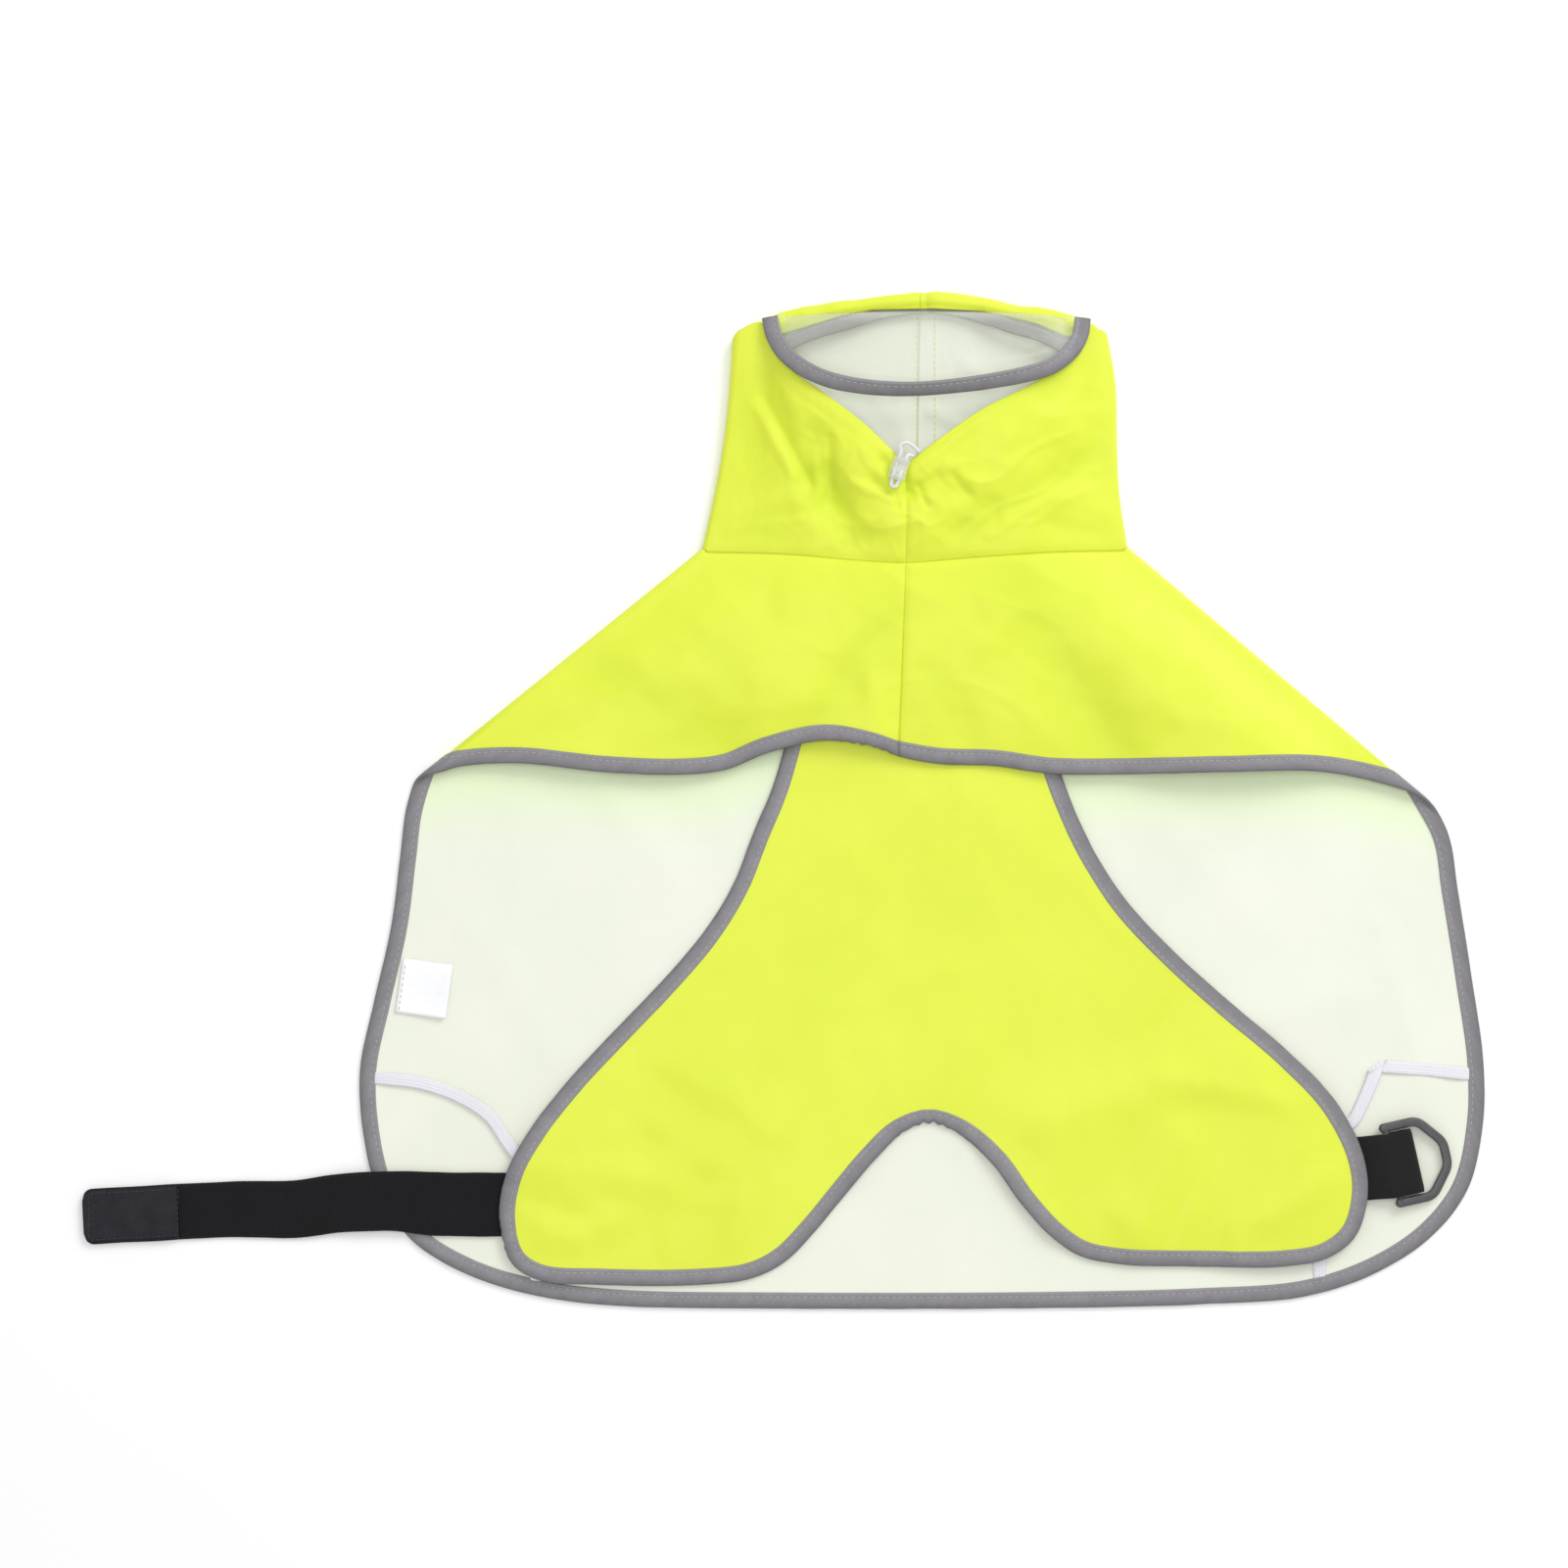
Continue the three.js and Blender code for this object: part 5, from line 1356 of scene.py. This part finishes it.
# ---- webbing loop and the ring that turns in it
ring = {
    "x": 220.5, "y": -170.5, "turn": 12.5, "bar": 3.2, "inner": 31.6, "arm": 4.2, "thick": 3.2, "back": 2.8,
    "shoulder": 16.2, "reach": 27.5, "blunt": 6.4, "droop": 3.4,
}
loop = {"root": -20, "fold": 11.3, "lean": 0.12, "width": 30, "thick": 1.2, "floor": 2.4, "rise": 5.0}
ringFrame = Matrix.Translation((ring["x"], ring["y"], 0)) @ Matrix.Rotation(radians(ring["turn"]), 4, "Z")
barFrame = ringFrame @ Matrix.Translation((0, 0, loop["floor"] + loop["rise"] / 2)) @ Matrix.Rotation(radians(ring["droop"]), 4, "Y")


def makeLoop():
    low, rise, radius = loop["floor"], loop["rise"], loop["rise"] / 2
    path = [(x, low) for x in (loop["root"], -14, -7, 0, loop["fold"] - radius)]
    for k in range(1, 12):
        angle = pi * k / 12
        path.append((loop["fold"] - radius + radius * sin(angle), low + radius * (1 - cos(angle))))
    path += [(loop["fold"] - radius, low + rise), (0, low + rise), (-3, low + rise)]
    path += [(-8, low + rise * 0.68), (-13, low + 1.6), (loop["root"], low + 1.5)]
    track = Track(smoothLine([(x, 0, z) for x, z in path], 6))
    centres = [track.point(s) for s in track.spots(110)]
    leaned = [Vector((p.x, loop["lean"] * max(0, -2 - p.x), p.z)) for p in centres]
    turned = [ringFrame @ p for p in leaned]
    across = (ringFrame.to_3x3() @ Vector((0, 1, 0))).normalized()
    made = bandMesh(turned, [loop["width"]] * len(turned), loop["thick"], [across] * len(turned), steps=14)
    addPiece("ring_loop", made, [webbing], ["ring_webbing"])


def roundedPath(corners, radii):
    path = []
    for k, c in enumerate(corners):
        if k in (0, len(corners) - 1):
            path.append(c)
            continue
        before = c + (corners[k - 1] - c).normalized() * radii[k]
        after = c + (corners[k + 1] - c).normalized() * radii[k]
        for step in range(9):
            t = step / 8
            path.append(before.lerp(c, t).lerp(c.lerp(after, t), t))
    return path


def makeRing():
    half = ring["inner"] / 2 + ring["arm"] / 2
    shoulder = ring["shoulder"] - ring["arm"] * 0.18
    blunt = ring["blunt"] - ring["arm"] * 0.18
    reach = ring["reach"] - ring["arm"] / 2
    corners = [(-ring["back"], -half), (shoulder, -half), (reach, -blunt), (reach, blunt), (shoulder, half), (-ring["back"], half)]
    path = Track(roundedPath([vec(c) for c in corners], [0, 3.6, 3.4, 3.4, 3.6, 0]))
    centres = [path.point(s) for s in path.spots(120)]
    steps = 20
    rows, cuts = [], []
    run = 0
    for j, c in enumerate(centres):
        way = (centres[min(j + 1, 120)] - centres[max(j - 1, 0)]).normalized()
        run += (c - centres[j - 1]).length if j else 0
        side = Vector((way.y, -way.x, 0))
        fromEnd = min(run, path.lengths[-1] - run)
        size = sqrt(max(0.05, 1 - (1 - clamp01(fromEnd / 2)) ** 2))
        around = []
        for k in range(steps + 1):
            a = 2 * pi * k / steps
            # A square section with well rounded corners
            w = abs(cos(a)) ** 0.5 * (1 if cos(a) > 0 else -1)
            h = abs(sin(a)) ** 0.5 * (1 if sin(a) > 0 else -1)
            around.append(barFrame @ (c + side * (w * ring["arm"] / 2 * size) + Vector((0, 0, h * ring["thick"] / 2 * size))))
        rows.append(around)
        cuts.append([(run, k) for k in range(steps + 1)])
    made = sheetMesh(rows, cuts, closed=True)
    upright = barFrame @ Matrix.Rotation(radians(90), 4, "X")
    size = Matrix.Scale(mm, 4)
    bar = {"radius1": ring["bar"] / 2, "radius2": ring["bar"] / 2, "depth": ring["inner"] + ring["arm"]}
    bmesh.ops.create_cone(made, cap_ends=True, segments=24, matrix=size @ upright, **bar)
    addPiece("strap_ring", made, [plastic], ["ring"], body="ring")


makeLoop()
makeRing()
print("loop and ring made")

# ---- leg elastics, sewn to the hems on the lining
legLeft = [
    (-257, -129.9, 1.2), (-253, -130.1, 1.9), (-235, -132.3, 2.1), (-217, -138.5, 2.3), (-203, -147.5, 2.2),
    (-193.5, -161, 2.2), (-186, -171.5, 2.1), (-181.5, -184, 2.1), (-180.5, -220, 2), (-180.4, -225.4, 1.2),
]
legRightFront = [
    (257.4, -128, 1.2), (253, -127.6, 1.9), (240, -126.2, 2.1), (228, -125.2, 2), (219, -124.6, 1.9),
    (213.4, -124.2, 1.8),
]
legRightBack = [
    (213.4, -124.2, 2.8), (211.2, -131, 2.9), (207, -141, 2.4), (202.9, -149, 2.1), (196.2, -154.6, 2.1),
    (189.5, -161, 2.1), (186.6, -172, 2.1), (186.2, -217, 2), (186.4, -223.4, 1.2),
]
legBand = {"width": 6, "thick": 0.8}


def makeLegBands():
    centres = evenPoints(legLeft, 150)
    widths = [legBand["width"] * (1 + 0.05 * soft(c.x, c.y, 8, 6)) for c in centres]
    left = bandMesh(centres, widths, legBand["thick"], steps=6)
    addPiece("leg_band_left", left, [white], ["leg_elastic_left"])
    right = foldedBand(evenPoints(legRightFront, 50), evenPoints(legRightBack, 110), legBand["width"], legBand["thick"])
    addPiece("leg_band_right", right, [white], ["leg_elastic_right"])


makeLegBands()
print("leg elastics made")

# ---- care label, left bare
tag = {"x": -233.4, "y": -87.9, "width": 24, "height": 26, "turn": -8, "corner": 2.5, "low": 1.95, "thick": 0.35}


def makeLabel():
    made = bmesh.new()
    layer = made.loops.layers.uv.new("cut")
    bmesh.ops.create_grid(made, x_segments=16, y_segments=16, size=0.5)
    bmesh.ops.scale(made, verts=made.verts[:], vec=(tag["width"], tag["height"], 1))
    right = [v for v in made.verts if v.co.x > tag["width"] / 2 - 0.01 and abs(v.co.y) > tag["height"] / 2 - 0.01]
    spread = {"affect": "VERTICES", "segments": 5, "profile": 0.5, "material": -1}
    bmesh.ops.bevel(made, geom=right, offset=1.3, offset_type="OFFSET", **spread)
    frameOfTag = Matrix.Translation((tag["x"], tag["y"], tag["low"])) @ Matrix.Rotation(radians(tag["turn"]), 4, "Z")
    for face in made.faces:
        for corner in face.loops:
            corner[layer].uv = corner.vert.co.xy * mm
    for v in made.verts:
        free = clamp01((v.co.x + tag["width"] / 2) / tag["width"])
        v.co.z += 1.6 * free**2 + 0.5 * free * sin(v.co.y / 5) + 0.15 * soft(v.co.x, v.co.y, 6, 1) * free
        v.co = (frameOfTag @ v.co) * mm
    paper = addPiece("bare_label", made, [label], ["care_label"])
    thicken(paper, tag["thick"], 0)
    stitches = bmesh.new()
    line = [frameOfTag @ Vector((-tag["width"] / 2 + 1.6, lerp(-12, 12, k / 20), tag["thick"] / 2 + 0.08)) for k in range(21)]
    stitchRow(stitches, line, [Vector((0, 0, 1))] * 21, pitch=2.8, length=2)
    addPiece("bare_label_stitches", stitches, [greyThread])


makeLabel()
print("label made")

# ---- clear cord lock: a body with a slot through it, and the plunger that grips the cord
lock = {"width": 8.2, "length": 11, "thick": 6.2, "round": 1.8, "plunger": (0.9, 6, 3.4)}


def makeLock():
    made = bmesh.new()
    bmesh.ops.create_cube(made, size=1)
    bmesh.ops.scale(made, verts=made.verts[:], vec=(lock["width"], lock["length"], lock["thick"]))
    bmesh.ops.bevel(made, geom=made.edges[:], offset=lock["round"], segments=5, profile=0.5, affect="EDGES", material=-1)
    ends = [f for f in made.faces if abs(f.normal.y) > 0.999]
    bmesh.ops.inset_region(made, faces=ends, thickness=0.25, depth=0)
    middles = {f: f.calc_center_median() for f in made.faces if abs(f.normal.y) > 0.999}
    ends = [f for f, at in middles.items() if abs(at.x) < 0.1 and abs(at.z) < 0.1]
    rims = [e for f in ends for e in f.edges]
    bmesh.ops.delete(made, geom=ends, context="FACES_ONLY")
    bmesh.ops.bridge_loops(made, edges=rims)
    for v in made.verts:
        v.co = (lockFrame @ v.co) * mm
    bmesh.ops.recalc_face_normals(made, faces=made.faces[:])
    addPiece("lock_body", made, [clearPlastic], ["cord_lock"])
    plunger = bmesh.new()
    at = lockFrame @ Matrix.Translation((0, 0.6, 0))
    bmesh.ops.create_cube(plunger, size=1)
    bmesh.ops.scale(plunger, verts=plunger.verts[:], vec=lock["plunger"])
    bmesh.ops.bevel(plunger, geom=plunger.edges[:], offset=0.3, segments=3, profile=0.5, affect="EDGES", material=-1)
    for v in plunger.verts:
        v.co = (at @ v.co) * mm
    addPiece("lock_plunger", plunger, [clearPlastic])


makeLock()
print("lock made")

print("done")
